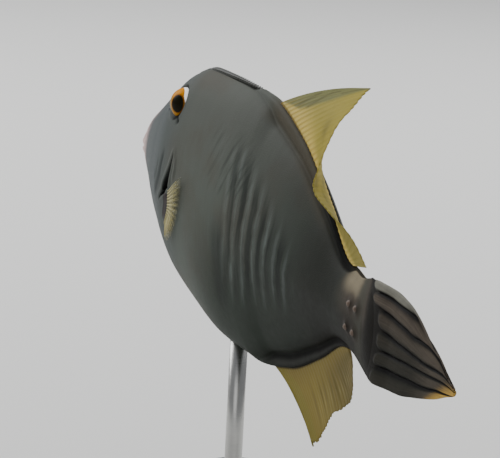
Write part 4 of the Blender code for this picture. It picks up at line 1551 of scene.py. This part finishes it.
@dataclass(frozen=True)
class Eyes:
    """Both eyeballs."""

    rings: int = 60
    around: int = 96
    bulge: float = 0.045
    bulge_width: float = 0.62
    oval_height: float = 1.12
    oval_width: float = 0.86
    crescent_up: tuple[float, float, float] = (0.35, -0.20, 0.91)
    crescent_angle: float = 56.5
    crescent_slope: float = 45.0
    lid_angle: float = 70.5

    def build(self) -> None:
        """Eyeballs whose poles look where the eyes look."""
        finish = EyeFinish().build()
        turn = np.linspace(0.02, math.pi - 0.02, self.rings)[:, None]
        spin = circle(self.around)[None]
        rise, across = np.sin(turn) * np.cos(spin), np.sin(turn) * np.sin(spin)
        radius = EYE.radius * (1 + self.bulge * hump(turn, self.bulge_width))
        oval = turn * np.hypot(np.cos(spin) / self.oval_height, np.sin(spin) / self.oval_width)
        for side in Side:
            flip = np.array([1.0, side.value, 1.0])
            gaze = unit(np.array(EYE.gaze if side is Side.LEFT else EYE.gaze_right)) * flip
            sideways = unit(np.cross(gaze, UP))
            over = np.cross(sideways, gaze)
            direction = (np.cos(turn)[..., None] * gaze + rise[..., None] * over
                         + across[..., None] * sideways)
            tilt = np.degrees(np.arccos(np.clip(direction @ EYE.outward(side), -1, 1)))
            up = direction @ (unit(np.array(self.crescent_up)) * flip)
            edge = self.crescent_angle + self.crescent_slope * np.clip(0.9 - up, 0, 1)
            surface = ring_stack(
                EYE.centre(side) + direction * radius[..., None], turn=oval, spin=np.abs(spin - np.pi),
                upper=rise / math.sin(0.9), across=np.abs(across),
                crescent=smooth(-1.2, 1.2, tilt - edge) * smooth(0.50, 0.62, up),
                lid=smooth(self.lid_angle - 2, self.lid_angle + 1, tilt))
            add_piece(side.named("eyeball"), surface, finish, Slot.EYE, side.named("eye"))


@dataclass(frozen=True)
class Teeth:
    """Two rows of incisors behind the lips."""

    count: int = 6
    width: float = 0.00085
    height: float = 0.0021
    depth: float = 0.0009
    arc: float = 0.0023
    arc_station: float = 0.0115
    edge: float = 0.00015
    pitch: float = 1.12
    sides: int = 12
    rings: int = 9
    corners: float = 0.6
    widths: Profile = Profile(((0.0, 1.0), (0.6, 1.0), (0.9, 0.86), (1.0, 0.55)))
    depths: Profile = Profile(((0.0, 1.0), (0.6, 0.8), (0.9, 0.45), (1.0, 0.2)))

    def build(self) -> None:
        """All teeth as one piece."""
        back, left = BODY.directions(0.0)
        middle = BODY.place(self.arc_station, 0.0, Skin.mouth_height * BODY.length)
        waves = np.cos(circle(self.sides)), np.sin(circle(self.sides))
        round_x, round_y = (np.sign(wave) * np.abs(wave) ** self.corners / 2 for wave in waves)
        share = np.linspace(0, 1, self.rings)[:, None]
        teeth = []
        for jaw in (1, -1):
            for i in range(self.count):
                turn = (i - (self.count - 1) / 2) * self.width * self.pitch / self.arc
                outward = -back * math.cos(turn) + left * math.sin(turn)
                across = np.cross(UP, outward)
                root = middle + outward * self.arc + UP * jaw * (self.height + self.edge)
                centres = root - UP * jaw * self.height * share
                spread_x = across * self.width * self.widths.at(share)[..., None] * round_x[:, None]
                spread_y = outward * self.depth * self.depths.at(share)[..., None] * round_y[:, None]
                teeth.append(ring_stack(centres[:, None] + spread_x + spread_y, tip=share))
        add_piece("teeth", joined(teeth), ToothFinish().build(), Slot.SPINE)


@dataclass(frozen=True)
class Nostrils:
    """Two small rimmed pits before each eye."""

    spots: Path = ((0.262, 0.122), (0.250, 0.111))
    radius: float = 0.00075
    rim: float = 0.00026
    sides: int = 20
    rim_sides: int = 10
    pit_levels: tuple[float, ...] = (0.12, 0.02, -0.6)
    pit_radii: tuple[float, ...] = (0.35, 1.0, 0.6)

    def build(self) -> None:
        """All nostrils as one piece."""
        angle, around = circle(self.sides), circle(self.rim_sides)
        levels = np.array(self.pit_levels)[:, None, None] * self.rim
        radii = np.array(self.pit_radii)[:, None, None] * self.radius
        parts = []
        for side in Side:
            for station, share in self.spots:
                normal = BODY.flank_normal(station, share, side)
                first = unit(np.cross(normal, UP))
                second = np.cross(normal, first)
                middle = BODY.flank_point(station, share, side)
                spoke = np.cos(angle)[:, None] * first + np.sin(angle)[:, None] * second
                rim = (middle + spoke[:, None] * (self.radius + self.rim * np.cos(around))[None, :, None]
                       + normal * (self.rim * np.sin(around))[None, :, None])
                rim = np.concatenate([rim, rim[:1]]).reshape(-1, 3)
                quads = grid_quads(self.sides + 1, self.rim_sides, around=True)
                parts.append(Surface(rim, quads, NO_TRIANGLES, {"tip": np.zeros(len(rim))}))
                parts.append(ring_stack(middle + spoke[None] * radii + normal * levels, tip=1.0))
        add_piece("nostrils", joined(parts), NostrilFinish().build(), Slot.SKIN)


@dataclass(frozen=True)
class FirstSpine:
    """The first dorsal spine, folded down in its groove, with two rows of small barbs."""

    start: float = 0.305
    end: float = 0.515
    radius: Profile = Profile(((0.0, 0.0010), (0.07, 0.0016), (0.5, 0.0012), (1.0, 0.0005)))
    sunk: Profile = Profile(((0.0, 0.0030), (0.07, 0.0017), (0.5, 0.0013), (1.0, 0.0006)))
    steps: int = 70
    crowding: float = 1.3
    grain: float = 0.05
    sides: int = 20
    barbs: int = 22
    barb_from: float = 0.12
    barb_run: float = 0.82
    barb_length: float = 0.0009
    barb_radii: tuple[float, ...] = (0.0004, 0.00025, 0.00006)
    barb_sides: int = 6
    barb_seat: Spot = (0.45, 0.7)
    barb_forward: float = 0.5
    barb_upward: float = 0.35

    def middle(self, share: Number, over: float = 0.0) -> Array:
        """Places along the spine's middle, or a distance over it, in metres."""
        station = self.start + (self.end - self.start) * share
        return BODY.on_line(BODY.back_line, station, over - self.sunk.at(share))

    def build(self) -> None:
        """Spine and barbs as one piece."""
        share = np.linspace(0, 1, self.steps) ** self.crowding
        grain = 1 + self.grain * np.sin(np.arange(self.steps) * 2.3)
        rings = tube_rings(self.middle(share), self.radius.at(share) * grain, self.sides)
        parts = [ring_stack(rings, tip=share[:, None])]
        along_barb = np.linspace(0, self.barb_length, len(self.barb_radii))[:, None]
        seat_up, seat_out = self.barb_seat
        for side in Side:
            for part in self.barb_from + self.barb_run * np.arange(self.barbs) / (self.barbs - 1):
                back, left = BODY.directions(self.start + (self.end - self.start) * part)
                thick = float(self.radius.at(part))
                root = self.middle(part, thick * seat_up) + left * side.value * thick * seat_out
                lean = unit(left * side.value - back * self.barb_forward + UP * self.barb_upward)
                rings = tube_rings(root + lean * along_barb, self.barb_radii, self.barb_sides)
                parts.append(ring_stack(rings, tip=1.0))
        add_piece("first_spine", joined(parts), BoneFinish().build(), Slot.SPINE, "dorsal_spine")


@dataclass(frozen=True)
class StalkSpines:
    """Hooked spines on both sides of the tail stalk."""

    spots: Path = ((0.957, 0.020), (0.979, 0.021), (0.954, -0.012), (0.976, -0.012))
    height: float = 0.0008
    radius: float = 0.0014
    sunk: float = 0.001
    extra: float = 0.0004
    rings: int = 14
    sides: int = 16
    hook: float = 0.7
    shape: Profile = Profile(((0.0, 1.35), (0.3, 1.15), (0.62, 0.88), (0.86, 0.55), (1.0, 0.15)))

    def build(self) -> None:
        """All spines as one piece."""
        share = np.linspace(0, 1, self.rings)[:, None]
        radii = self.radius * self.shape.at(share[:, 0])
        parts = []
        for side in Side:
            for station, level in self.spots:
                normal = BODY.flank_normal(station, level, side)
                back = BODY.directions(station)[0]
                root = BODY.flank_point(station, level, side) - normal * self.sunk
                out = normal * (self.height + self.sunk + self.extra) * share
                centres = root + out - back * self.height * self.hook * share ** 2
                parts.append(ring_stack(tube_rings(centres, radii, self.sides), tip=share))
        finish = BoneFinish("stalk_spine", tint(100, 82, 70), tint(60, 49, 42), tint(112, 95, 80))
        add_piece("stalk_spines", joined(parts), finish.build(), Slot.SPINE)


@dataclass(frozen=True)
class RayRelief:
    """How the rays stand out of a fin's membrane."""

    membrane: float = 0.00030
    root_ridge: float = 0.00012
    tip_ridge: float = 0.00005
    split_from: float = 0.45
    split_gap: float = 0.17
    wide: float = 0.15

    def crest(self, ray: Array, reach: Array) -> Array:
        """Heights of the rays, which split in two along their outer part.

        Args:
            ray: Ray numbers, whole on a ray.
            reach: Shares of the way to the margin.

        Returns:
            The heights, as shares of a ray's full one.
        """
        off = ray - np.round(ray)
        gap = self.split_gap * smooth(self.split_from, 0.9, reach)
        narrow = self.wide * (1 - 0.35 * smooth(self.split_from, 0.9, reach))
        return np.clip(hump((off - gap) / narrow, 1) + hump((off + gap) / narrow, 1), 0, 1)

    def half_thickness(self, crest: Array, reach: Array) -> Array:
        """Half the fin's thickness, in metres."""
        ridge = self.root_ridge + (self.tip_ridge - self.root_ridge) * reach
        return self.membrane * (1.35 - 0.75 * reach) + ridge * crest


@dataclass(frozen=True, kw_only=True)
class RayedFin:
    """What the fins of fine rays share: lines of points from the body out to the margin."""

    finish: FinFinish
    rays: int
    length: Profile
    steps: int
    comb: float
    relief: RayRelief = RayRelief()
    between: int = 8
    root_sunk: float = 0.0022
    root_swell: float = 0.0

    def ray_numbers(self) -> Array:
        """Ray numbers of the lines, whole on a ray."""
        return np.linspace(0, self.rays - 1, (self.rays - 1) * self.between + 1)

    def lengths(self, ray: Array) -> Array:
        """Lengths of the lines, in metres, which dip between the tips of the rays."""
        dip = smooth(0.1, 0.5, np.abs(ray - np.round(ray)))
        return self.length.at(ray / (self.rays - 1)) * BODY.length * (1 - self.comb * dip)

    def grow(self, here: Array, inward: Array, lengths: Array, headings: Sequence[Array]) -> Array:
        """Places along the lines.

        Args:
            here: Where the lines leave the body.
            inward: Way into the body.
            lengths: Lengths of the lines, in metres.
            headings: Unit vectors of each step.

        Returns:
            The places, as lines by points by 3, with one more point within the body.
        """
        step = (lengths / (self.steps - 1))[:, None]
        rows = [here + inward * self.root_sunk, here]
        for heading in headings:
            rows.append(rows[-1] + heading * step)
        return np.stack(rows, 1)

    def stains(self, share: Array, reach: Array) -> dict[str, Array]:
        """Markings of the fin, of which a plain one has none."""
        return {}

    def sheet(self, columns: Array) -> Surface:
        """The fin, with its rays on both faces.

        Args:
            columns: Places along its lines, as lines by points by 3.

        Returns:
            The closed surface.
        """
        reach = np.concatenate([[0.0], np.linspace(0, 1, self.steps)])
        ray, reach = np.meshgrid(self.ray_numbers(), reach, indexing="ij")
        share = ray / (self.rays - 1)
        crest = self.relief.crest(ray, reach)
        half = self.relief.half_thickness(crest, reach) + self.root_swell * smooth(0.14, 0.0, reach)
        normal = unit(np.cross(np.gradient(columns, axis=0), np.gradient(columns, axis=1)))
        faces = np.stack([columns + normal * half[..., None], columns - normal * half[..., None]])
        return two_faced(faces, ray=ray, reach=reach, share=share, crest=crest, **self.stains(share, reach))


@dataclass(frozen=True, kw_only=True)
class LongFin(RayedFin):
    """The soft dorsal fin or the anal fin."""

    name: str
    node: str
    base: Spot
    upward: float
    line: Profile
    sweep: Profile
    lean: Profile
    lean_curl: float = 0.0
    sweep_curl: float = 0.0
    steps: int = 44
    comb: float = 0.022
    ragged: float = 0.020
    front_edge: Profile
    streaks: tuple[Path, ...] = ()
    streak_width: float = 0.010
    patches: tuple[tuple[float, float, float, float], ...] = ()

    def stains(self, share: Array, reach: Array) -> dict[str, Array]:
        """Markings of the fin.

        Args:
            share: Shares of the way along the base.
            reach: Shares of the way to the margin.

        Returns:
            The front band, the dark streaks and the shaded folds, from 0 to 1.
        """
        front = smooth(0.02, -0.02, share - self.front_edge.at(reach))
        streaks = np.zeros(share.shape)
        for path in self.streaks:
            for start, end in zip(path, path[1:]):
                away = segment_reach(share, reach, start, end)[1]
                streaks = np.maximum(streaks, hump(away, self.streak_width))
        folds = np.zeros(share.shape)
        for at, out, wide, tall in self.patches:
            folds = np.maximum(folds, hump(share - at, wide) * hump(reach - out, tall))
        return {"front": front, "streaks": streaks, "folds": folds}

    def columns(self) -> Array:
        """Lines of the fin.

        Returns:
            Places along them, as lines by points by 3.
        """
        ray = self.ray_numbers()
        share = ray / (self.rays - 1)
        station = self.base[0] + (self.base[1] - self.base[0]) * share
        up = UP * self.upward
        back, left = BODY.directions(station)
        here = BODY.on_line(self.line, station)
        lengths = self.lengths(ray) * (1 - self.ragged * ripple(np.round(ray), self.upward))
        headings = []
        for turn in 2 * (np.arange(self.steps - 1) + 0.5) / (self.steps - 1) - 1:
            lean = np.radians(self.lean.at(share) * (1 + self.lean_curl * turn))[:, None]
            sweep = np.radians(self.sweep.at(share) * (1 - self.sweep_curl * turn))[:, None]
            out = np.sin(lean) * -left + np.cos(lean) * up
            headings.append(np.sin(sweep) * back + np.cos(sweep) * out)
        return self.grow(here, -up, lengths, headings)

    def build(self) -> None:
        """Fin with its rays on both faces."""
        add_piece(self.name, self.sheet(self.columns()), self.finish.build(), Slot.FIN, self.node)


@dataclass(frozen=True, kw_only=True)
class PectoralFins(RayedFin):
    """The small fan-shaped fins behind the gill slits."""

    rays: int = 14
    length: Profile = Profile((
        (0.0, 0.076), (0.15, 0.074), (0.35, 0.060), (0.6, 0.042), (0.8, 0.036), (1.0, 0.030)))
    steps: int = 36
    comb: float = 0.05
    relief: RayRelief = RayRelief(membrane=0.00022, root_ridge=0.00020, tip_ridge=0.00008)
    root_swell: float = 0.0005
    root_station: Profile = Profile(((0.0, 0.327), (0.45, 0.324), (0.7, 0.316), (1.0, 0.304)))
    root_level: Profile = Profile(((0.0, -0.006), (1.0, -0.067)))
    rise: Profile = Profile(((0.0, 33), (0.2, 27), (0.4, 14), (0.6, -12), (0.8, -50), (1.0, -82)))
    spread: Spot = (12, 1.5)

    def columns(self, side: Side) -> Array:
        """Lines of one fin.

        Args:
            side: Which flank it stands on.

        Returns:
            Places along them, as lines by points by 3.
        """
        ray = self.ray_numbers()
        share = ray / (self.rays - 1)
        station, level = self.root_station.at(share), self.root_level.at(share)
        back, left = BODY.directions(station)
        outward = left * side.value
        rise = np.radians(self.rise.at(share))[:, None]
        lie = back * np.cos(rise) + UP * np.sin(rise)
        at_root, at_tip = self.spread
        eased = (1 - (np.arange(self.steps - 1) + 0.5) / (self.steps - 1)) ** 2
        spreads = np.radians(at_tip + (at_root - at_tip) * eased)
        headings = [lie * math.cos(spread) + outward * math.sin(spread) for spread in spreads]
        return self.grow(BODY.flank_point(station, level, side), -outward, self.lengths(ray), headings)

    def build(self) -> None:
        """Both fins."""
        finish = self.finish.build()
        for side in Side:
            sheet = self.sheet(self.columns(side))
            add_piece(side.named("pectoral"), sheet, finish, Slot.FIN, side.named("pectoral_fin"))


@dataclass(frozen=True)
class TailFin:
    """The closed tail fin, whose folded rays show as broad ribs between dark creases."""

    length: float = 0.206
    inside: float = -0.03
    half_height: Profile = Profile((
        (0.0, 0.063), (0.13, 0.067), (0.3, 0.065), (0.47, 0.060), (0.6, 0.051), (0.75, 0.038),
        (0.9, 0.025), (1.0, 0.012)))
    middle: Profile = Profile((
        (0.0, 0.0055), (0.3, 0.0085), (0.47, 0.008), (0.6, 0.0065), (0.75, 0.003), (0.9, 0.001),
        (1.0, -0.001)))
    thickness: Profile = Profile(((0.0, 0.0034), (0.3, 0.0040), (0.8, 0.0024), (1.0, 0.0008)))
    crowding: float = 0.085
    rounding: float = 0.10
    across: int = 320
    down: int = 150
    rib_power: float = 2.3
    toe: Profile = Profile((
        (-1.0, 0.13), (-0.7, 0.145), (-0.3, 0.185), (0.45, 0.190), (0.6, 0.13), (1.0, 0.09)))
    toe_round: float = 0.05
    valley: float = 0.14
    edge_power: float = 7.0
    edge_share: float = 0.84
    outer_gaps: Spot = (0.45, 0.75)
    creases: tuple[Profile, ...] = (
        Profile(((0.13, 0.81), (0.27, 0.83), (0.36, 0.83), (0.44, 0.85), (0.57, 0.96), (0.64, 1.06))),
        Profile((
            (0.18, 0.553), (0.27, 0.513), (0.41, 0.48), (0.55, 0.49), (0.67, 0.66), (0.81, 0.93),
            (0.90, 1.0))),
        Profile((
            (0.19, 0.147), (0.28, 0.10), (0.42, 0.067), (0.55, 0.08), (0.66, 0.107), (0.77, 0.22),
            (0.86, 0.35), (0.92, 0.45))),
        Profile((
            (0.19, -0.273), (0.30, -0.267), (0.46, -0.22), (0.62, -0.17), (0.72, -0.10),
            (0.82, -0.01), (0.957, 0.13))),
        Profile((
            (0.15, -0.60), (0.28, -0.58), (0.39, -0.567), (0.54, -0.547), (0.65, -0.56),
            (0.75, -0.54), (0.85, -0.44))))

    def rib_numbers(self, spread: Array, reach: Array) -> Array:
        """Rib numbers, whole on a crease.

        Args:
            spread: Places across the fin, from 1 on its upper edge to -1 on its lower one.
            reach: Shares of the way to the tip.

        Returns:
            The numbers, which count from the upper edge.
        """
        lines = [crease.at(reach) for crease in self.creases]
        lines = [lines[0] + self.outer_gaps[0], *lines, lines[-1] - self.outer_gaps[1]]
        return sum(np.clip((one - spread) / (one - other), 0, 1) for one, other in zip(lines, lines[1:]))

    def rib(self, phase: Array, spread: Array, reach: Array) -> tuple[Array, Array]:
        """Height of the ribs and the bare root before them.

        Args:
            phase: Rib numbers, whole on a crease.
            spread: Places across the fin, from 1 on its upper edge to -1 on its lower one.
            reach: Shares of the way to the tip.

        Returns:
            The height, which is 0 in a crease and 1 on a crest, and the root, which is 1 before
            the ribs begin.
        """
        off = np.abs(2 * (phase - np.floor(phase)) - 1)
        rounded = np.sqrt(np.clip(1 - off ** self.rib_power, 0, 1))
        begun = smooth(-0.022, 0.022, reach - self.toe.at(spread) - self.toe_round * off ** 3)
        return rounded * begun + (1 - begun) * 0.55, 1 - begun

    def build(self) -> None:
        """Tail fin."""
        share, reach = np.meshgrid(
            np.linspace(0, 1, self.across), np.linspace(self.inside, 1, self.down), indexing="ij")
        spread = 1 - 2 * (share - self.crowding * np.sin(2 * np.pi * share))
        inner = np.clip(reach, 0, 1)
        distance = self.length * BODY.length * reach * (1 - self.rounding * spread ** 2)
        axis, left = BODY.tail_axis(np.maximum(distance, 0))
        axis = axis + BODY.directions(1.0)[0] * np.minimum(distance, 0)[..., None]
        height = (self.middle.at(inner) + spread * self.half_height.at(inner)) * BODY.length
        centre = axis + UP * height[..., None]
        edge = np.sqrt(np.clip(1 - np.abs(spread) ** self.edge_power, 0, 1))
        base = self.thickness.at(inner) / 2 * (1 - self.edge_share + self.edge_share * edge)
        number = self.rib_numbers(spread, inner)
        depth = (1 - self.valley) * (1 - 0.25 * inner)
        faces, ribs, roots = [], [], []
        for sign, shift in ((1, 0.0), (-1, 0.5)):
            rib, root = self.rib(number + shift, spread, inner)
            faces.append(centre + left * sign * (base * (1 - depth * (1 - rib)))[..., None])
            ribs.append(rib)
            roots.append(root)
        surface = two_faced(np.stack(faces), rib=np.stack(ribs), root=np.stack(roots), number=number,
                            reach=reach, spread=spread)
        add_piece("tail_fin", surface, TailFinish().build(), Slot.TAIL, "caudal_fin")


@dataclass(frozen=True)
class PelvicScute:
    """The small barbed scute at the end of the pelvis."""

    station: float = 0.385
    size: tuple[float, float, float] = (0.0046, 0.0019, 0.0022)
    barbs: tuple[float, ...] = (-55, -28, 0, 28, 55)
    rings: int = 24
    around: int = 40
    barb_length: float = 0.0052
    barb_radii: tuple[float, ...] = (0.0009, 0.00085, 0.00078, 0.0007, 0.0006, 0.00045, 0.00028, 0.0001)
    barb_sides: int = 12
    barb_root: Spot = (0.0010, 0.0007)
    barb_down: float = 0.25
    barb_fan: float = 0.4
    lumps: float = 0.05

    def build(self) -> None:
        """Scute and barbs as one piece."""
        back, left = BODY.directions(self.station)
        centre = BODY.on_line(BODY.belly_line, self.station)
        turn = np.linspace(0.05, math.pi - 0.05, self.rings)[:, None]
        spin = circle(self.around)[None]
        lumps = 1 + self.lumps * np.sin(turn * 9) * np.cos(spin * 6)
        long, wide, tall = self.size
        scute = (centre + back * (long * np.cos(turn) + 0 * spin)[..., None]
                 + left * (wide * np.sin(turn) * np.cos(spin) * lumps)[..., None]
                 + UP * (tall * np.sin(turn) * np.sin(spin) * lumps)[..., None])
        parts = [ring_stack(scute, tip=0.2)]
        root = centre + back * self.barb_root[0] - UP * self.barb_root[1]
        share = np.linspace(0, 1, len(self.barb_radii))[:, None]
        for angle in self.barbs:
            lean = unit(back - UP * self.barb_down + left * math.sin(math.radians(angle)) * self.barb_fan)
            line = root + lean * share * self.barb_length
            parts.append(ring_stack(tube_rings(line, self.barb_radii, self.barb_sides), tip=share))
        finish = BoneFinish("pelvic_bone", tint(118, 108, 94), tint(66, 60, 52), tint(140, 128, 110))
        add_piece("pelvic_scute", joined(parts), finish.build(), Slot.SPINE, "pelvic_rudiment")


@dataclass(frozen=True)
class Stand:
    """Flat lacquered base with one steel rod."""

    base_length: float = 0.146
    base_width: float = 0.092
    base_thickness: float = 0.010
    corner: float = 0.020
    corner_points: int = 16
    gap: float = 0.0003
    rod_radius: float = 0.0035
    collar_radius: float = 0.009
    collar_height: float = 0.005
    sides: int = 64
    base_edge: Path = (
        (0.0030, 0.0), (0.0015, 0.0), (0.0007, 0.00025), (0.0002, 0.0009), (0.0, 0.0017), (0.0, 0.0050))

    def outline(self, inset: float, level: float) -> Array:
        """Rounded rectangle of the base.

        Args:
            inset: How far it lies within the base's edge, in metres.
            level: Its height over the table.

        Returns:
            Its points.
        """
        places = []
        half_length, half_width = self.base_length / 2 - self.corner, self.base_width / 2 - self.corner
        for quarter, (sx, sy) in enumerate(((1, 1), (-1, 1), (-1, -1), (1, -1))):
            for angle in np.radians(90 * (quarter + np.linspace(0, 1, self.corner_points))):
                x, y = (self.corner - inset) * math.cos(angle), (self.corner - inset) * math.sin(angle)
                places.append([sx * half_length + x, sy * half_width + y, level])
        return np.array(places)

    def build(self) -> None:
        """Base and rod."""
        upper = [(inset, self.base_thickness - level) for inset, level in self.base_edge[-2::-1]]
        rings = np.stack([self.outline(inset, level) for inset, level in (*self.base_edge, *upper)])
        add_piece("base", ring_stack(rings), LacquerFinish().build(), Slot.LACQUER, "stand_base")
        foot = self.base_thickness + self.gap
        belly = BODY.axis_height + float(BODY.belly_line.at(BODY.rod_station)) * BODY.length
        wide, rod = self.collar_radius, self.rod_radius
        collar = ((wide * 0.6, 0.0), (wide - 0.0003, 0.0), (wide, 0.06), (wide, 0.44), (wide - 0.0004, 0.52),
                  (wide * 0.82, 0.85), (wide * 0.76, 0.92), (rod + 0.0006, 0.97), (rod, 1.1))
        profile = [(radius, foot + self.collar_height * level) for radius, level in collar]
        profile += [(rod, (foot + belly) / 2), (rod, belly + 0.0015)]
        angle = circle(self.sides)
        spoke = np.stack([np.cos(angle), np.sin(angle), 0 * angle], -1)
        rings = np.stack([spoke * radius + UP * level for radius, level in profile])
        add_piece("rod", ring_stack(rings), SteelFinish().build(), Slot.STEEL, "stand_rod")


@dataclass(frozen=True)
class Studio:
    """Camera, floor and soft lights."""

    picture: tuple[int, int] = (500, 458)
    azimuth: float = 65.0099
    elevation: float = 17.1250
    roll: float = 2.9208
    distance: float = 2.46087
    target_pixel: Spot = (253.585, 214.572)
    focal_pixels: float = 1600.0
    sensor: float = 36.0
    target_station: float = 0.5
    aim: tuple[float, float, float] = (0.0, 0.0, 0.14)
    floor_reach: float = 6.0
    sky: Tint = (0.93, 0.95, 1.0, 1.0)
    sky_strength: float = 0.30
    lamps: tuple[tuple[str, tuple[float, float, float], float, float], ...] = (
        ("key", (-1.15, -0.70, 1.15), 1.3, 26.0), ("fill", (1.5, -1.0, 0.7), 1.2, 4.0),
        ("rim", (-0.5, 1.1, 1.35), 0.8, 22.0))

    def camera(self) -> None:
        """Camera that sees the fish as the photograph does."""
        turn, lift, roll = (math.radians(v) for v in (self.azimuth, self.elevation, self.roll))
        back = Vector((math.sin(turn) * math.cos(lift), -math.cos(turn) * math.cos(lift), math.sin(lift)))
        level = Vector((math.cos(turn), math.sin(turn), 0.0))
        upright = back.cross(level)
        right = level * math.cos(roll) + upright * math.sin(roll)
        up = -level * math.sin(roll) + upright * math.cos(roll)
        shift_x = (self.target_pixel[0] - self.picture[0] / 2) * self.distance / self.focal_pixels
        shift_y = (self.target_pixel[1] - self.picture[1] / 2) * self.distance / self.focal_pixels
        target = Vector((self.target_station - BODY.rod_station, 0.0, 0.0))
        place = (target + back * self.distance - right * shift_x + up * shift_y) * BODY.length
        lens = bpy.data.cameras.new("camera")
        lens.sensor_fit = "HORIZONTAL"
        lens.sensor_width = self.sensor
        lens.lens = self.focal_pixels * self.sensor / self.picture[0]
        lens.clip_start = 0.01
        lens.clip_end = 20.0
        item = bpy.data.objects.new("camera", lens)
        axes = Matrix((right, up, back)).transposed()
        item.matrix_world = Matrix.Translation(place + Vector((0.0, 0.0, BODY.axis_height))) @ axes.to_4x4()
        bpy.context.scene.collection.objects.link(item)
        bpy.context.scene.camera = item

    def lamp(self, name: str, place: tuple[float, float, float], size: float, power: float) -> None:
        """Square soft light that points at the fish.

        Args:
            name: Name of the light.
            place: Where it hangs.
            size: Length of its sides, in metres.
            power: Power in watts.
        """
        light = bpy.data.lights.new(name, "AREA")
        light.size = size
        light.energy = power
        item = bpy.data.objects.new(name, light)
        item.location = Vector(place)
        item.rotation_euler = (Vector(place) - Vector(self.aim)).to_track_quat("Z", "Y").to_euler()
        bpy.context.scene.collection.objects.link(item)

    def floor(self) -> None:
        """Pale floor."""
        corners = np.array([[-1, -1, 0], [1, -1, 0], [1, 1, 0], [-1, 1, 0]]) * self.floor_reach
        surface = Surface(corners, np.array([[0, 1, 2, 3]]), NO_TRIANGLES, {})
        item = make_mesh("floor", surface, smooth_shaded=False)
        item.data.materials.append(FloorFinish().build())

    def build(self) -> None:
        """All of the studio."""
        self.camera()
        self.floor()
        for lamp in self.lamps:
            self.lamp(*lamp)
        world = bpy.data.worlds.new("studio")
        bpy.context.scene.world = world
        world.use_nodes = True
        background = world.node_tree.nodes["Background"]
        background.inputs["Color"].default_value = self.sky
        background.inputs["Strength"].default_value = self.sky_strength


def dorsal_fin() -> LongFin:
    """Soft dorsal fin: pale yellow, with a grey-green front lobe and shaded folds behind."""
    # The root colour is the base's pale yellow, brightened as a painted highlight of light shining through
    # it.
    finish = FinFinish(
        "dorsal_fin", membrane=tint(192, 180, 84), ray=tint(186, 150, 60), root=tint(255, 236, 146),
        rear=tint(166, 158, 88), front=tint(124, 136, 100), streak=tint(70, 82, 62),
        shade=tint(128, 120, 62), rim=tint(110, 72, 46))
    return LongFin(
        name="soft_dorsal", node="soft_dorsal_fin", rays=37, base=(0.582, 0.912), upward=1.0,
        line=BODY.back_line,
        length=Profile((
            (0.0, 0.146), (0.12, 0.139), (0.25, 0.122), (0.38, 0.113), (0.5, 0.110), (0.62, 0.088),
            (0.75, 0.078), (0.88, 0.068), (1.0, 0.056))),
        sweep=Profile(((0.0, 47), (0.12, 47), (0.25, 55), (0.38, 64), (0.5, 60), (0.62, 50), (0.75, 49),
                       (0.88, 56), (1.0, 74))),
        lean=Profile((
            (0.0, 65), (0.12, 50), (0.25, 28), (0.38, -17), (0.5, -47), (0.62, -55), (0.75, -42),
            (0.88, -18), (1.0, -3))),
        lean_curl=0.30, finish=finish,
        front_edge=Profile((
            (0.0, -0.02), (0.06, 0.03), (0.15, 0.10), (0.31, 0.12), (0.52, 0.138), (0.72, 0.142),
            (0.86, 0.138), (1.0, 0.13))),
        streaks=(((0.075, 0.15), (0.054, 0.33), (0.029, 0.47)), ((0.113, 0.24), (0.10, 0.39), (0.062, 0.58),
                 (0.058, 0.68)), ((0.10, 0.70), (0.09, 0.95)), ((0.02, 0.6), (0.015, 0.9))),
        patches=((0.31, 0.58, 0.05, 0.10), (0.58, 0.88, 0.035, 0.09), (0.56, 0.45, 0.04, 0.09),
                 (0.65, 0.60, 0.045, 0.08)))


def anal_fin() -> LongFin:
    """Anal fin: pale yellow in front, pleated, and olive behind."""
    finish = FinFinish(
        "anal_fin", membrane=tint(170, 154, 84), ray=tint(150, 132, 66), root=tint(164, 148, 84),
        rear=tint(128, 116, 72), front=tint(166, 157, 84), streak=tint(104, 92, 52),
        shade=tint(112, 100, 56), rim=tint(60, 48, 28), stripes=0.25, outer_rays=0.45)
    return LongFin(
        name="anal", node="anal_fin", rays=32, base=(0.618, 0.912), upward=-1.0, line=BODY.belly_line,
        length=Profile((
            (0.0, 0.150), (0.12, 0.128), (0.25, 0.116), (0.38, 0.103), (0.5, 0.090), (0.62, 0.081),
            (0.75, 0.080), (0.88, 0.066), (1.0, 0.028))),
        sweep=Profile(((0.0, 54), (0.12, 42), (0.38, 37), (0.62, 40), (1.0, 51))),
        lean=Profile(((0.0, 12), (0.25, 10), (0.62, 7), (0.75, 12), (1.0, 2))),
        sweep_curl=0.55, finish=finish, ragged=0.03,
        front_edge=Profile(((0.0, 0.10), (0.3, 0.22), (1.0, 0.26))),
        patches=tuple((at, 0.6, 0.012, 0.30) for at in (0.38, 0.49, 0.546, 0.637, 0.683, 0.78)))


def pectoral_fins() -> PectoralFins:
    """Pectoral fins: a dark pinkish base and pale yellow rays that fade at their tips."""
    return PectoralFins(finish=FinFinish(
        "pectoral_fin", membrane=tint(168, 162, 108), ray=tint(222, 210, 142), root=tint(160, 150, 104),
        rear=tint(196, 184, 124), front=tint(180, 172, 136), streak=tint(110, 104, 84),
        shade=tint(136, 130, 88), rim=tint(74, 58, 52), mottle=0.6, stripes=0.5, fading=True))


def main() -> None:
    """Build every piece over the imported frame."""
    logging.basicConfig(level=logging.INFO, format="%(name)s %(message)s")
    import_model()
    for part in (Studio(), Skin(), Eyes(), Teeth(), Nostrils(), FirstSpine(), dorsal_fin(), anal_fin(),
                 pectoral_fins(), TailFin(), StalkSpines(), PelvicScute(), Stand()):
        part.build()


if __name__ == "__main__":
    main()
